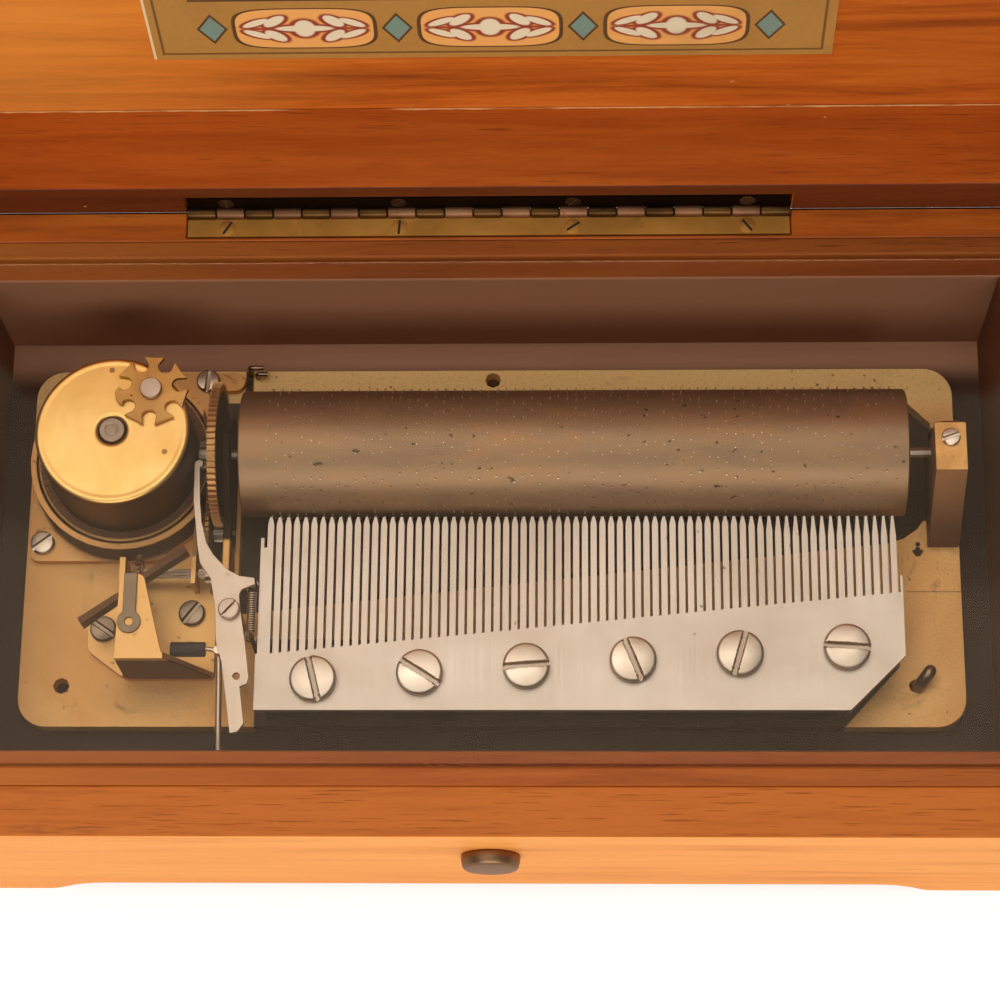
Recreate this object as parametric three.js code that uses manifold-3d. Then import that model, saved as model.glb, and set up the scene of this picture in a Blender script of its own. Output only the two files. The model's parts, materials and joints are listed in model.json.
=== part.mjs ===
// Cylinder music box: a wooden case on bracket feet with a hinged lid, a lift-out glass cover and a
// 72-tooth comb movement. Millimetres, +Z up, +X to the right and +Y to the back as one stands in
// front of it. Everything is drawn about the middle of the bedplate's top face, and the finished box
// is moved so that its origin lies in the middle of what it stands on.
import * as THREE from 'three';
import { mergeVertices } from 'three/addons/utils/BufferGeometryUtils.js';
import Module from 'manifold-3d';

const wasm = await Module();
wasm.setup();

// Clearances shared by all pieces
const seatGap = 0.3;
const runningGap = 0.15;
const overrun = 1;

// Facets of round pieces
const fineSides = 36;
const mediumSides = 14;
const smallSides = 8;
const wormSides = 12;
const wireSides = 6;
const tinySides = 6;

// Bedplate, the driving size of the movement. What stands on it is placed from its left or right end
const bedplateWidth = 160;
const bedplateDepth = 64.5;
const bedLeft = -bedplateWidth / 2;
const bedRight = bedplateWidth / 2;
const bedFront = -bedplateDepth / 2;
const bedBack = bedplateDepth / 2;
const bedplateThickness = 3;
const bedplateCorner = 5;
const wellLeftFromEnd = 36.8;
const wellLeft = bedLeft + wellLeftFromEnd;
const wellRightFromEnd = 4;
const wellRight = bedRight - wellRightFromEnd;
const wellBack = 28;
const wellCorner = 6;
const wellFrontLeft = -12.5;
const wellFrontRight = -0.3;
const mountingHoleRadius = 1.4;
const mountingHoleXFromEnd = 7.3;
const mountingHoleX = bedLeft + mountingHoleXFromEnd;
const mountingHoleYFromEdge = 7.15;
const mountingHoleY = bedFront + mountingHoleYFromEdge;
const railHoleX = 0.2;
const railHoleYFromEdge = 1.85;
const railHoleY = bedBack - railHoleYFromEdge;
const wheelSlotFront = -5.6;
const wheelSlotBack = 21.6;

// Case
const sideClearance = 5.2;
const frontClearance = 10.45;
const backClearance = 6.25;
const liningThickness = 6.4;
const boardThickness = 8.2;
const backBoardThickness = 5.6;
const coverClearance = 1.1;
const apronDepth = 7.9;
const footHeight = 4.7;
const footLength = 24.8;
const footCurve = 11;
const panelThickness = 4;
const rabbetWidth = 3.3;
const rabbetDepth = 2.15;
const edgeBevel = 0.45;

// Glass cover
const glassThickness = 1.9;
const glassEdgeGap = 0.3;

// Lid and hinge
const lidDepthInside = 15.5;
const lidPanelThickness = 6;
const lidWall = 8.2;
const lidOpenAngle = THREE.MathUtils.degToRad(95);
const lidGap = 0.6;
const hingeLength = 101.2;
const hingeKnuckleRadius = 1.15;
const hingePinRadius = 0.45;
const hingeKnuckles = 21;
const hingeInset = 0.6;
const leafWidth = 3.05;
const leafThickness = 0.8;
const cardWidth = 113;
const cardHeight = 62;
const cardThickness = 0.4;
const cardFromSeam = 16;
const glueLine = 0.05;

// Comb
const toothCount = 72;
const toothTipY = 1.5;
const toothTaper = 1.3;
const combTop = 10.5;
const combThickness = 1.4;
const combFrontY = -32.15;
const combLeftXFromEnd = 41.4;
const combLeftX = bedLeft + combLeftXFromEnd;
const combRightXFromEnd = 11;
const combRightX = bedRight - combRightXFromEnd;
const firstToothInset = 1.9;
const lastToothInset = 1.33;
const firstToothX = combLeftX + firstToothInset;
const toothPitch = (combRightX - lastToothInset - firstToothX) / (toothCount - 1);
const toothWidthShare = 0.694;
const toothTipWidthShare = 0.245;
const toothWidth = toothPitch * toothWidthShare;
const toothTipWidth = toothPitch * toothTipWidthShare;
const combCorner = 9.3;
const rootLeftY = -22.5;
const rootRightY = -12;
const fingerTipY = -2.2;
const fingerLeftFromEnd = 41.7;
const fingerLeft = bedLeft + fingerLeftFromEnd;
const fingerWidth = 0.55;
const fingerNotchY = -3.9;
const endFingerTipY = -9;
const endFingerWidth = 0.4;
const combBaseInset = 1.1;

// Comb screws
const combScrewCount = 6;
const combScrewRadius = 4;
const combScrewHead = 1.9;
const combScrewShank = 1.5;
const combScrewDepth = 6;
const screwSlotWidth = 0.9;
const combScrewFirstXFromEnd = 51.2;
const combScrewFirstX = bedLeft + combScrewFirstXFromEnd;
const combScrewFirstY = -27;
const combScrewLastXFromEnd = 20.6;
const combScrewLastX = bedRight - combScrewLastXFromEnd;
const combScrewLastY = -21.6;
const combScrewTurns = [-74, -31, 3, -66, 75, -3];

// Cylinder and its arbor
const cylinderRadius = 10.75;
const cylinderLeftFromEnd = 37.7;
const cylinderLeft = bedLeft + cylinderLeftFromEnd;
const cylinderRightFromEnd = 9.4;
const cylinderRight = bedRight - cylinderRightFromEnd;
const cylinderRecess = 1.2;
const cylinderRim = 1.1;
const cylinderY = 12.98;
const cylinderZ = 10;
const arborRadius = 0.9;
const arborLeftFromEnd = 30.5;
const arborLeft = bedLeft + arborLeftFromEnd;
const arborRightFromEnd = 2.8;
const arborRight = bedRight - arborRightFromEnd;
const pinHeight = 0.42;
const pinRadius = 0.17;
const pinSides = 3;

// Right and left bearings
const bracketWidth = 5.2;
const bracketLeftFromEnd = 5.4;
const bracketLeft = bedRight - bracketLeftFromEnd;
const bracketTop = 17;
const bracketBackY = 16.2;
const bracketFrontY = -0.6;
const bracketTopFrontY = 7.4;
const bracketFoot = 3;
const bracketScrewRadius = 1.6;
const bracketScrewHead = 1;
const sideCockLeftFromEnd = 34.8;
const sideCockLeft = bedLeft + sideCockLeftFromEnd;
const sideCockThickness = 1.3;
const sideCockFrontY = -9.4;
const sideCockBackY = 21;
const sideCockLow = 7.6;
const sideCockTop = 13.4;

// Gears
const greatTeeth = 72;
const greatRadius = 12.15;
const greatLeftFromEnd = 33.1;
const greatLeft = bedLeft + greatLeftFromEnd;
const greatThickness = 1.2;
const leaves = 8;
const firstArborY = 0.9;
const firstArborZ = 4;
const firstArborRadius = 0.5;
const firstPinionLeftFromEnd = 32.9;
const firstPinionLeft = bedLeft + firstPinionLeftFromEnd;
const firstPinionLength = 1.6;
const firstWheelTeeth = 40;
const firstWheelLeftFromEnd = 32.05;
const firstWheelLeft = bedLeft + firstWheelLeftFromEnd;
const firstWheelThickness = 0.6;
const secondArborY = -6.9;
const secondArborZ = 5.4;
const secondArborRadius = 0.5;
const secondPinionLeftFromEnd = 31.85;
const secondPinionLeft = bedLeft + secondPinionLeftFromEnd;
const secondPinionLength = 1;
const wormWheelTeeth = 24;
const wormWheelThickness = 0.8;
const crownTeeth = 72;
const crownPinionLeaves = 10;
const crownPinionLeftFromEnd = 30.8;
const crownPinionLeft = bedLeft + crownPinionLeftFromEnd;
const crownPinionLength = 1.9;
const crownToothHeight = 0.85;

// Barrel, standing with its axis upright beside the cylinder
const barrelXFromEnd = 17.4;
const barrelX = bedLeft + barrelXFromEnd;
const barrelY = 12.98;
const barrelRadius = 12.95;
const barrelTop = 22.1;
const barrelWall = 0.8;
const barrelEdge = 1.5;
const barrelHole = 2.55;
const flangeRadius = 14.85;
const flangeTop = 7.4;
const flangeThickness = 1.4;
const crownInnerRadius = 13.3;
const collarRadius = 16.2;
const collarInner = 15.15;
const collarTop = 7.8;
const barrelBaseThickness = 1.6;
const barrelBaseLeftFromEnd = 0.7;
const barrelBaseLeft = bedLeft + barrelBaseLeftFromEnd;
const barrelBaseRightFromEnd = 30.6;
const barrelBaseRight = bedLeft + barrelBaseRightFromEnd;
const barrelBaseFront = -3.3;
const barrelBaseBack = 31.4;
const barrelBaseCorner = 7;
const barrelScrewRadius = 2.1;
const barrelScrewHead = 1.3;
const barrelScrewShank = 1;
const barrelScrewFrontFromEnd = 3;
const barrelScrewFront = [bedLeft + barrelScrewFrontFromEnd, -0.2];
const barrelScrewBackFromEnd = 30.4;
const barrelScrewBack = [bedLeft + barrelScrewBackFromEnd, 29.6];
const barrelHubLow = 2;
const barrelHubRadius = 12.3;
const crownInset = 0.1;
const windingArborRadius = 1.4;
const windingHeadRadius = 2.05;
const windingHeadDepth = 0.5;
const mainspringTurns = 5;
const mainspringStrip = 0.45;
const mainspringInner = 4.5;
const mainspringOuter = 10.8;

// Winding key under the case
const keySpan = 22;
const keyThickness = 3.2;
const keyHub = 3.4;
const keyWing = 4.6;
const keyDrop = 0.4;
const keyTurn = THREE.MathUtils.degToRad(40);

// Geneva stop work on the barrel's cap
const genevaArms = 7;
const genevaXFromEnd = 23.85;
const genevaX = bedLeft + genevaXFromEnd;
const genevaY = 19.75;
const genevaRadius = 6.3;
const genevaThickness = 0.9;
const genevaNotch = 1.2;
const genevaNotchShare = 0.75;
const genevaMouthShare = 0.85;
const genevaTurn = THREE.MathUtils.degToRad(-15);
const genevaScrewRadius = 1.85;
const genevaScrewHead = 0.9;
const genevaHole = 1.2;

// Governor
const flyXFromEnd = 20.6;
const flyX = bedLeft + flyXFromEnd;
const flyY = -10.9;
const flyRadius = 10.75;
const flyLow = 9.2;
const flyHigh = 12.2;
const flyVane = 0.5;
const flyHub = 1.1;
const wormLow = 3.5;
const wormHigh = 7.3;
const wormCore = 0.55;
const wormRadius = 1;
const wormStaffLow = 1.7;
const wormThreadRoot = 0.46;
const wormThreadTip = 0.22;
const wormDepth = 0.15;
const flyPivotRadius = 0.3;
const flyPivotTop = 13.4;
const flyTurn = THREE.MathUtils.degToRad(36.5);
const frameBase = 1.4;
const frameTop = 14;
const frameSheet = 1.1;
const frameLeftFromEnd = 18.4;
const frameLeft = bedLeft + frameLeftFromEnd;
const frameRightTopFromEnd = 26.4;
const frameRightTop = bedLeft + frameRightTopFromEnd;
const frameRightBaseFromEnd = 33.4;
const frameRightBase = bedLeft + frameRightBaseFromEnd;
const frameFrontY = -24.3;
const frameBackY = -9.6;
const frameTipLeftFromEnd = 18.7;
const frameTipLeft = bedLeft + frameTipLeftFromEnd;
const frameTipRightFromEnd = 22.6;
const frameTipRight = bedLeft + frameTipRightFromEnd;
const frameShoulderXFromEnd = 11.6;
const frameShoulderX = bedLeft + frameShoulderXFromEnd;
const frameShoulderFront = -19.2;
const frameShoulderBack = -14.7;
const frameWaistXFromEnd = 16.5;
const frameWaistX = bedLeft + frameWaistXFromEnd;
const frameWaistY = -8.9;
const frameTongueY = -4.5;
const frameTongueXFromEnd = 24;
const frameTongueX = bedLeft + frameTongueXFromEnd;
const frameCornerY = -6;
const uprightFront = -9.2;
const uprightTop = 7.4;
const leftUprightXFromEnd = 17.4;
const leftUprightX = bedLeft + leftUprightXFromEnd;
const leftUprightThickness = 1;
const rightUprightXFromEnd = 29.6;
const rightUprightX = bedLeft + rightUprightXFromEnd;
const rightUprightThickness = 0.8;
const rightUprightBack = 2;
const rightUprightNoseTop = 5.6;
const strapRound = 2;
const strapWidth = 2.2;
const strapThickness = 0.5;
const strapRoundY = -18;
const governorScrewRadius = 2.3;
const governorScrewHead = 1.3;
const governorScrewShank = 1.1;
const governorScrewLeftFromEnd = 14.3;
const governorScrewLeft = [bedLeft + governorScrewLeftFromEnd, -15.6];
const governorScrewRightFromEnd = 29.3;
const governorScrewRight = [bedLeft + governorScrewRightFromEnd, -12.8];

// Stop lever, its wire, brake and spring
const leverXFromEnd = 37.2;
const leverX = bedLeft + leverXFromEnd;
const leverY = -15.8;
const leverLength = 47.6;
const leverLow = 12.7;
const leverThickness = 0.8;
const leverHole = 1.25;
const leverSmallHole = 0.65;
const leverScrewRadius = 1.6;
const leverScrewHead = 1;
const leverPostRadius = 1.7;
const leverPostShank = 1;
const wireRadius = 0.45;
const wireHigh = 10.6;
const wireLow = 6;
const wireBrakeXFromEnd = 27.4;
const wireBrakeX = bedLeft + wireBrakeXFromEnd;
const wireBrakeY = -21.8;
const wireBendXFromEnd = 34.6;
const wireBendX = bedLeft + wireBendXFromEnd;
const wireFrontXFromEnd = 35.4;
const wireFrontX = bedLeft + wireFrontXFromEnd;
const wireInnerFromWall = 0.7;
const wireEndFromWall = 0.7;
const wireDipFromWall = 9.7;
const wireDipZ = 8.3;
const wireRivetRadius = 0.7;
const wireRivetXFromEnd = 35.4;
const wireRivetX = bedLeft + wireRivetXFromEnd;
const wireRivetY = -22.4;
const wireRivetLow = 9.9;
const sleeveRadius = 1;
const sleeveLength = 5.8;
const springCurls = 10;
const springRadius = 0.62;
const springWire = 0.1;
const springXFromEnd = 40.65;
const springX = bedLeft + springXFromEnd;
const springBack = -12.1;
const springFront = -18.9;
const springZ = 11.5;
const springPinRadius = 0.4;
const springPinY = -10.9;
const springPinLow = 10.8;
const springHook = 0.95;
const anchorRadius = 0.45;
const anchorY = -19.75;

// Stop knob on the front and its bar inside the wall
const knobX = 1;
const knobZ = 14.5;
const knobRadius = 4.8;
const knobFaceRadius = 4.4;
const knobProud = 2.4;
const knobStem = 1.5;
const knobTravel = 1.2;
const barHeight = 3;
const barThickness = 1.6;
const barLegWidth = 4.4;
const barLow = 4.4;
const barForkTop = 8;
const pocketDepth = 2.4;
const pocketMargin = 0.5;

// Bent steel pin in the bedplate's right corner
const hookXFromEnd = 8.4;
const hookX = bedRight - hookXFromEnd;
const hookYFromEdge = 7.15;
const hookY = bedFront + hookYFromEdge;
const hookRadius = 0.8;
const hookReach = 3;
const hookHeight = 4.5;
const hookDepth = 2.2;

// Places worked out from the sizes above
const innerX = bedplateWidth / 2 + sideClearance;
const innerFront = -bedplateDepth / 2 - frontClearance;
const innerBack = bedplateDepth / 2 + backClearance;
const liningX = innerX + liningThickness;
const liningFront = innerFront - liningThickness;
const liningBack = innerBack + liningThickness;
const caseX = liningX + boardThickness;
const caseFront = liningFront - boardThickness;
const caseBack = liningBack + backBoardThickness;
const floorZ = -bedplateThickness;
const panelLow = floorZ - panelThickness;
const footLow = -apronDepth - footHeight;
const stopWorkTop = barrelTop + 2 * runningGap + genevaThickness + genevaScrewHead;
const ledgeZ = stopWorkTop + coverClearance;
const rimHeight = ledgeZ + rabbetDepth;
const hingeY = caseBack - hingeInset;
const hingeZ = rimHeight + lidGap / 2;
const combLow = combTop - combThickness;
const wireInnerY = innerFront + wireInnerFromWall;
const wireDipY = innerFront + wireDipFromWall;
const wireEndY = liningFront + wireEndFromWall;
const pitchAngle = (2 * Math.PI) / greatTeeth;

// Colours and surfaces
const wood = new THREE.MeshStandardMaterial({ color: 0xb5652b, roughness: 0.55, metalness: 0 });
const lightWood = new THREE.MeshStandardMaterial({ color: 0xd08a4a, roughness: 0.55, metalness: 0 });
const darkWood = new THREE.MeshStandardMaterial({ color: 0x4a2f22, roughness: 0.7, metalness: 0 });
const glass = new THREE.MeshStandardMaterial({
  color: 0xe8ecea, roughness: 0.08, metalness: 0, transparent: true, opacity: 0.3,
});
const brass = new THREE.MeshStandardMaterial({ color: 0xb98d4c, roughness: 0.4, metalness: 1 });
const brightBrass = new THREE.MeshStandardMaterial({ color: 0xd9ab5c, roughness: 0.25, metalness: 1 });
const steel = new THREE.MeshStandardMaterial({ color: 0xc9c2b8, roughness: 0.35, metalness: 1 });
const darkSteel = new THREE.MeshStandardMaterial({ color: 0x5b5148, roughness: 0.45, metalness: 1 });
const bronze = new THREE.MeshStandardMaterial({ color: 0x6d5a45, roughness: 0.4, metalness: 1 });
const rubber = new THREE.MeshStandardMaterial({ color: 0x25211f, roughness: 0.8, metalness: 0 });
const paper = new THREE.MeshStandardMaterial({ color: 0xb9a878, roughness: 0.7, metalness: 0 });

// Axes that an outline is swept along
const xAxis = new THREE.Vector3(1, 0, 0);
const yAxis = new THREE.Vector3(0, 1, 0);
const zAxis = new THREE.Vector3(0, 0, 1);

// A closed geometry as a solid that can be joined and cut
function toSolid(geometry) {
  const bare = geometry.clone();
  bare.deleteAttribute('normal');
  bare.deleteAttribute('uv');
  const merged = mergeVertices(bare);
  return new wasm.Manifold(new wasm.Mesh({
    numProp: 3,
    vertProperties: new Float32Array(merged.attributes.position.array),
    triVerts: Uint32Array.from(merged.index.array),
  }));
}

// A finished solid as a geometry
function toGeometry(solid) {
  const { vertProperties, triVerts } = solid.getMesh();
  const geometry = new THREE.BufferGeometry();
  geometry.setAttribute('position', new THREE.BufferAttribute(vertProperties, 3));
  geometry.setIndex(new THREE.BufferAttribute(triVerts, 1));
  geometry.computeVertexNormals();
  return geometry;
}

function piece(name, shape, material) {
  const geometry = shape.isBufferGeometry ? shape : toGeometry(shape);
  const mesh = new THREE.Mesh(geometry, material);
  mesh.name = name;
  return mesh;
}

// A straight-edged outline from [across, up] corners
function outline(corners) {
  return new THREE.Shape(corners.map(([across, up]) => new THREE.Vector2(across, up)));
}

function extruded(shape, depth, segments = smallSides) {
  return new THREE.ExtrudeGeometry(shape, { depth, bevelEnabled: false, curveSegments: segments });
}

// A plan outline (x, y) between two heights
function plate(shape, low, high, segments) {
  return extruded(shape, high - low, segments).translate(0, 0, low);
}

// A side outline (y, z) between two places along x
function sidePlate(shape, left, right, segments) {
  const turn = new THREE.Matrix4().makeBasis(yAxis, zAxis, xAxis);
  return extruded(shape, right - left, segments).applyMatrix4(turn).translate(left, 0, 0);
}

// A front outline (x, z) between two places along y
function frontPlate(shape, front, back, segments) {
  const turn = new THREE.Matrix4().makeBasis(xAxis, zAxis, yAxis.clone().negate());
  return extruded(shape, back - front, segments).applyMatrix4(turn).translate(0, back, 0);
}

function block(low, high) {
  const size = high.map((value, axis) => value - low[axis]);
  const middle = high.map((value, axis) => (value + low[axis]) / 2);
  return new THREE.BoxGeometry(...size).translate(...middle);
}

// A profile of [radius, height] points turned about an upright axis at x, y
function turned(profile, x, y, sides) {
  const points = profile.map(([radius, height]) => new THREE.Vector2(radius, height));
  return new THREE.LatheGeometry(points, sides).rotateX(Math.PI / 2).translate(x, y, 0);
}

// A profile of [radius, place along x] points turned about an axis along x
function turnedAlongX(profile, y, z, sides) {
  const points = profile.map(([radius, along]) => new THREE.Vector2(radius, along));
  return new THREE.LatheGeometry(points, sides).rotateZ(-Math.PI / 2).translate(0, y, z);
}

function upright(radius, low, high, x, y, sides = mediumSides) {
  return turned([[0, low], [radius, low], [radius, high], [0, high]], x, y, sides);
}

function alongX(radius, left, right, y, z, sides = smallSides) {
  return turnedAlongX([[0, left], [radius, left], [radius, right], [0, right]], y, z, sides);
}

// A profile of [radius, distance to the front] points turned about an axis along y
function turnedToFront(profile, x, z, sides) {
  const points = profile.map(([radius, ahead]) => new THREE.Vector2(radius, ahead));
  return new THREE.LatheGeometry(points, sides).rotateX(Math.PI).translate(x, 0, z);
}

// Wire of round section along a smooth path
function wire(points, radius, sides, steps) {
  const section = [];
  for (let side = 0; side < sides; side += 1) {
    const angle = (2 * Math.PI * side) / sides;
    section.push([radius * Math.cos(angle), radius * Math.sin(angle)]);
  }
  const path = new THREE.CatmullRomCurve3(points.map((point) => new THREE.Vector3(...point)));
  return new THREE.ExtrudeGeometry(outline(section), { extrudePath: path, steps });
}

function roundedRectangle(left, right, front, back, corner) {
  const shape = new THREE.Shape();
  shape.moveTo(left + corner, front);
  shape.lineTo(right - corner, front);
  shape.absarc(right - corner, front + corner, corner, -Math.PI / 2, 0, false);
  shape.lineTo(right, back - corner);
  shape.absarc(right - corner, back - corner, corner, 0, Math.PI / 2, false);
  shape.lineTo(left + corner, back);
  shape.absarc(left + corner, back - corner, corner, Math.PI / 2, Math.PI, false);
  shape.lineTo(left, front + corner);
  shape.absarc(left + corner, front + corner, corner, Math.PI, 1.5 * Math.PI, false);
  return shape;
}

// A domed, slotted screw head on its shank, standing upright
const domeShare = 0.35;
const domeInShare = 0.8;
const domeHighShare = 0.9;
const slotDepthShare = 0.6;
const slotWidthShare = 0.35;
function slottedScrew(x, y, seat, radius, head, shank, depth, turn) {
  const profile = [
    [0, seat - depth], [shank, seat - depth], [shank, seat], [radius, seat],
    [radius, seat + head * (1 - domeShare)], [radius * domeInShare, seat + head * domeHighShare],
    [0, seat + head],
  ];
  const body = toSolid(turned(profile, 0, 0, mediumSides));
  const width = Math.min(screwSlotWidth, radius * slotWidthShare);
  const slot = block(
    [-radius - overrun, -width / 2, seat + head * (1 - slotDepthShare)],
    [radius + overrun, width / 2, seat + head + overrun],
  );
  const cut = body.subtract(toSolid(slot.rotateZ(THREE.MathUtils.degToRad(turn))));
  return toGeometry(cut).translate(x, y, 0);
}

// A toothed outline. Shares give the width of a tooth at its root and at its tip as parts of the pitch.
function gearOutline(teeth, rootRadius, tipRadius, rootShare, tipShare, phase) {
  const step = (2 * Math.PI) / teeth;
  const corners = [];
  for (let tooth = 0; tooth < teeth; tooth += 1) {
    const middle = phase + tooth * step;
    const flank = [
      [rootRadius, -rootShare], [tipRadius, -tipShare], [tipRadius, tipShare], [rootRadius, rootShare],
    ];
    for (const [radius, share] of flank) {
      const angle = middle + (share * step) / 2;
      corners.push([radius * Math.cos(angle), radius * Math.sin(angle)]);
    }
  }
  return outline(corners);
}

// A toothed wheel on an axis along x
function gearAlongX(shape, left, right, y, z) {
  return sidePlate(shape, left, right).translate(0, y, z);
}

// Sizes of the running gears, worked out from their distances
const greatPinionDistance = Math.hypot(firstArborY - cylinderY, firstArborZ - cylinderZ);
const greatPinionAngle = Math.atan2(firstArborZ - cylinderZ, firstArborY - cylinderY);
const firstPinionRadius = greatPinionDistance - greatRadius;
const firstPairDistance = Math.hypot(secondArborY - firstArborY, secondArborZ - firstArborZ);
const firstPairAngle = Math.atan2(secondArborZ - firstArborZ, secondArborY - firstArborY);
const secondPinionRadius = firstPairDistance / (1 + firstWheelTeeth / leaves);
const firstWheelRadius = firstPairDistance - secondPinionRadius;
const wormPitchRadius = (wormCore + wormRadius) / 2;
const wormWheelRadius = secondArborY - flyY - wormPitchRadius;
const wormPitch = (2 * Math.PI * wormWheelRadius) / wormWheelTeeth;
const crownPitchRadius = greatLeft - seatGap - barrelX - (flangeRadius - crownInnerRadius) / 2;
const crownPinionRadius = (crownPitchRadius * crownPinionLeaves) / crownTeeth;
const rootShare = 0.46;
const tipShare = 0.2;
const addendumShare = 0.75;
const dedendumShare = 1.15;

// Tooth height shares are of the module, which is a wheel's pitch diameter over its teeth
function meshingGear(teeth, radius, phase) {
  const gearModule = (2 * radius) / teeth;
  const root = radius - dedendumShare * gearModule;
  const tip = radius + addendumShare * gearModule;
  return gearOutline(teeth, root, tip, rootShare, tipShare, phase);
}

// Bracket-footed board in front view: the apron is lifted between two feet by a soft curve
function apronOutline(half, foot) {
  const low = footLow;
  const apron = -apronDepth;
  const top = rimHeight;
  const shape = new THREE.Shape();
  const toe = half - foot;
  const spring = toe - footCurve;
  shape.moveTo(-half, low);
  shape.lineTo(-toe, low);
  shape.bezierCurveTo(-toe + footCurve / 3, low, -toe + footCurve / 3, apron, -spring, apron);
  shape.lineTo(spring, apron);
  shape.bezierCurveTo(toe - footCurve / 3, apron, toe - footCurve / 3, low, toe, low);
  shape.lineTo(half, low);
  shape.lineTo(half, top);
  shape.lineTo(-half, top);
  return shape;
}

function frontWall() {
  const board = frontPlate(apronOutline(caseX, footLength), caseFront, liningFront);
  const reach = knobStem + seatGap;
  const slot = block(
    [knobX - knobTravel - reach, caseFront - overrun, knobZ - reach],
    [knobX + reach, liningFront + overrun, knobZ + reach],
  );
  return piece('front_wall', toSolid(board).subtract(toSolid(slot)), lightWood);
}

// The back edge is bevelled, so that the open lid's edge passes it
function backWall() {
  const board = frontPlate(apronOutline(caseX, footLength), liningBack, caseBack);
  const bevel = sidePlate(outline([
    [caseBack - edgeBevel, rimHeight + overrun], [caseBack - edgeBevel, rimHeight],
    [caseBack, rimHeight - edgeBevel], [caseBack + overrun, rimHeight - edgeBevel],
    [caseBack + overrun, rimHeight + overrun],
  ]), -caseX - overrun, caseX + overrun);
  return piece('back_wall', toSolid(board).subtract(toSolid(bevel)).subtract(hingeMortise()), wood);
}

// Room for the hinge in the rim: a flat for the leaf and a hollow for the knuckles
function hingeMortise() {
  const half = hingeLength / 2 + seatGap;
  const flat = block(
    [-half, hingeY - hingeKnuckleRadius - leafWidth - seatGap, rimHeight - leafThickness],
    [half, caseBack + overrun, rimHeight + overrun],
  );
  const hollow = alongX(hingeKnuckleRadius + seatGap, -half, half, hingeY, hingeZ, mediumSides);
  return toSolid(flat).add(toSolid(hollow));
}

function sideWalls() {
  const half = (liningBack - liningFront) / 2;
  const middle = (liningBack + liningFront) / 2;
  const shape = apronOutline(half, footLength - boardThickness);
  const left = sidePlate(shape, -caseX, -liningX).translate(0, middle, 0);
  const right = sidePlate(shape, liningX, caseX).translate(0, middle, 0);
  return [piece('left_wall', left, wood), piece('right_wall', right, wood)];
}

function bottomPanel() {
  const board = block([-liningX, liningFront, panelLow], [liningX, liningBack, floorZ]);
  const hole = upright(windingArborRadius + seatGap, panelLow - overrun, floorZ + overrun, barrelX, barrelY);
  return piece('bottom_panel', toSolid(board).subtract(toSolid(hole)), darkWood);
}

// The rabbet that the glass lies in, cut into all four lining strips
function rabbet() {
  return toSolid(block(
    [-innerX - rabbetWidth, innerFront - rabbetWidth, ledgeZ],
    [innerX + rabbetWidth, innerBack + rabbetWidth, rimHeight + overrun],
  ));
}

// L-shaped way for the stop bar: along behind the knob, and down to the stop wire at its left end
function barOutline(margin, travel, low) {
  const left = wireFrontX - barLegWidth / 2 - margin - travel;
  const right = knobX + knobStem + margin;
  const legRight = wireFrontX + barLegWidth / 2 + margin;
  const top = knobZ + barHeight / 2 + margin;
  const bottom = knobZ - barHeight / 2 - margin;
  return [[left, low], [legRight, low], [legRight, bottom], [right, bottom], [right, top], [left, top]];
}

function linings() {
  const glassRabbet = rabbet();
  const pocketShape = outline(barOutline(pocketMargin, knobTravel, barLow - pocketMargin));
  const pocket = frontPlate(pocketShape, liningFront - overrun, liningFront + pocketDepth);
  const reach = wireRadius + seatGap;
  const wireSlot = block(
    [wireFrontX - reach - knobTravel, liningFront, wireLow - reach],
    [wireFrontX + reach, innerFront + overrun, wireLow + reach],
  );
  const front = toSolid(block([-liningX, liningFront, floorZ], [liningX, innerFront, rimHeight]))
    .subtract(glassRabbet).subtract(toSolid(pocket)).subtract(toSolid(wireSlot));
  const back = toSolid(block([-liningX, innerBack, floorZ], [liningX, liningBack, rimHeight]));
  const left = toSolid(block([-liningX, innerFront, floorZ], [-innerX, innerBack, rimHeight]));
  const right = toSolid(block([innerX, innerFront, floorZ], [liningX, innerBack, rimHeight]));
  return [
    piece('front_lining', front, darkWood),
    piece('back_lining', back.subtract(glassRabbet), darkWood),
    piece('left_lining', left.subtract(glassRabbet), darkWood),
    piece('right_lining', right.subtract(glassRabbet), darkWood),
  ];
}

function glassCover() {
  const halfX = innerX + rabbetWidth - glassEdgeGap;
  return piece('glass_cover', block(
    [-halfX, innerFront - rabbetWidth + glassEdgeGap, ledgeZ],
    [halfX, innerBack + rabbetWidth - glassEdgeGap, ledgeZ + glassThickness],
  ), glass);
}

// One leaf of the long hinge lying flat, with every second knuckle, about the hinge's own axis
function hingeLeaf(firstKnuckle, faceZ, backZ) {
  const half = hingeLength / 2;
  const step = hingeLength / hingeKnuckles;
  let leaf = toSolid(block(
    [-half, -hingeKnuckleRadius - leafWidth, Math.min(faceZ, backZ)],
    [half, 0, Math.max(faceZ, backZ)],
  ));
  for (let index = 0; index < hingeKnuckles; index += 1) {
    const left = -half + index * step;
    const own = index % 2 === firstKnuckle;
    const reach = own ? 0 : seatGap;
    const room = alongX(hingeKnuckleRadius + reach, left, left + step, 0, 0, smallSides);
    const knuckle = alongX(hingeKnuckleRadius, left + seatGap / 2, left + step - seatGap / 2, 0, 0, smallSides);
    leaf = own ? leaf.add(toSolid(knuckle)) : leaf.subtract(toSolid(room));
  }
  const bore = alongX(hingePinRadius + runningGap, -half - overrun, half + overrun, 0, 0, tinySides);
  return leaf.subtract(toSolid(bore));
}

function hingeOnCase() {
  const leaf = hingeLeaf(0, -lidGap / 2, -lidGap / 2 - leafThickness + seatGap);
  const pin = alongX(hingePinRadius, -hingeLength / 2, hingeLength / 2, hingeY, hingeZ, tinySides);
  return [
    piece('hinge_case_leaf', toGeometry(leaf).translate(0, hingeY, hingeZ), brass),
    piece('hinge_pin', pin, bronze),
  ];
}

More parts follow.
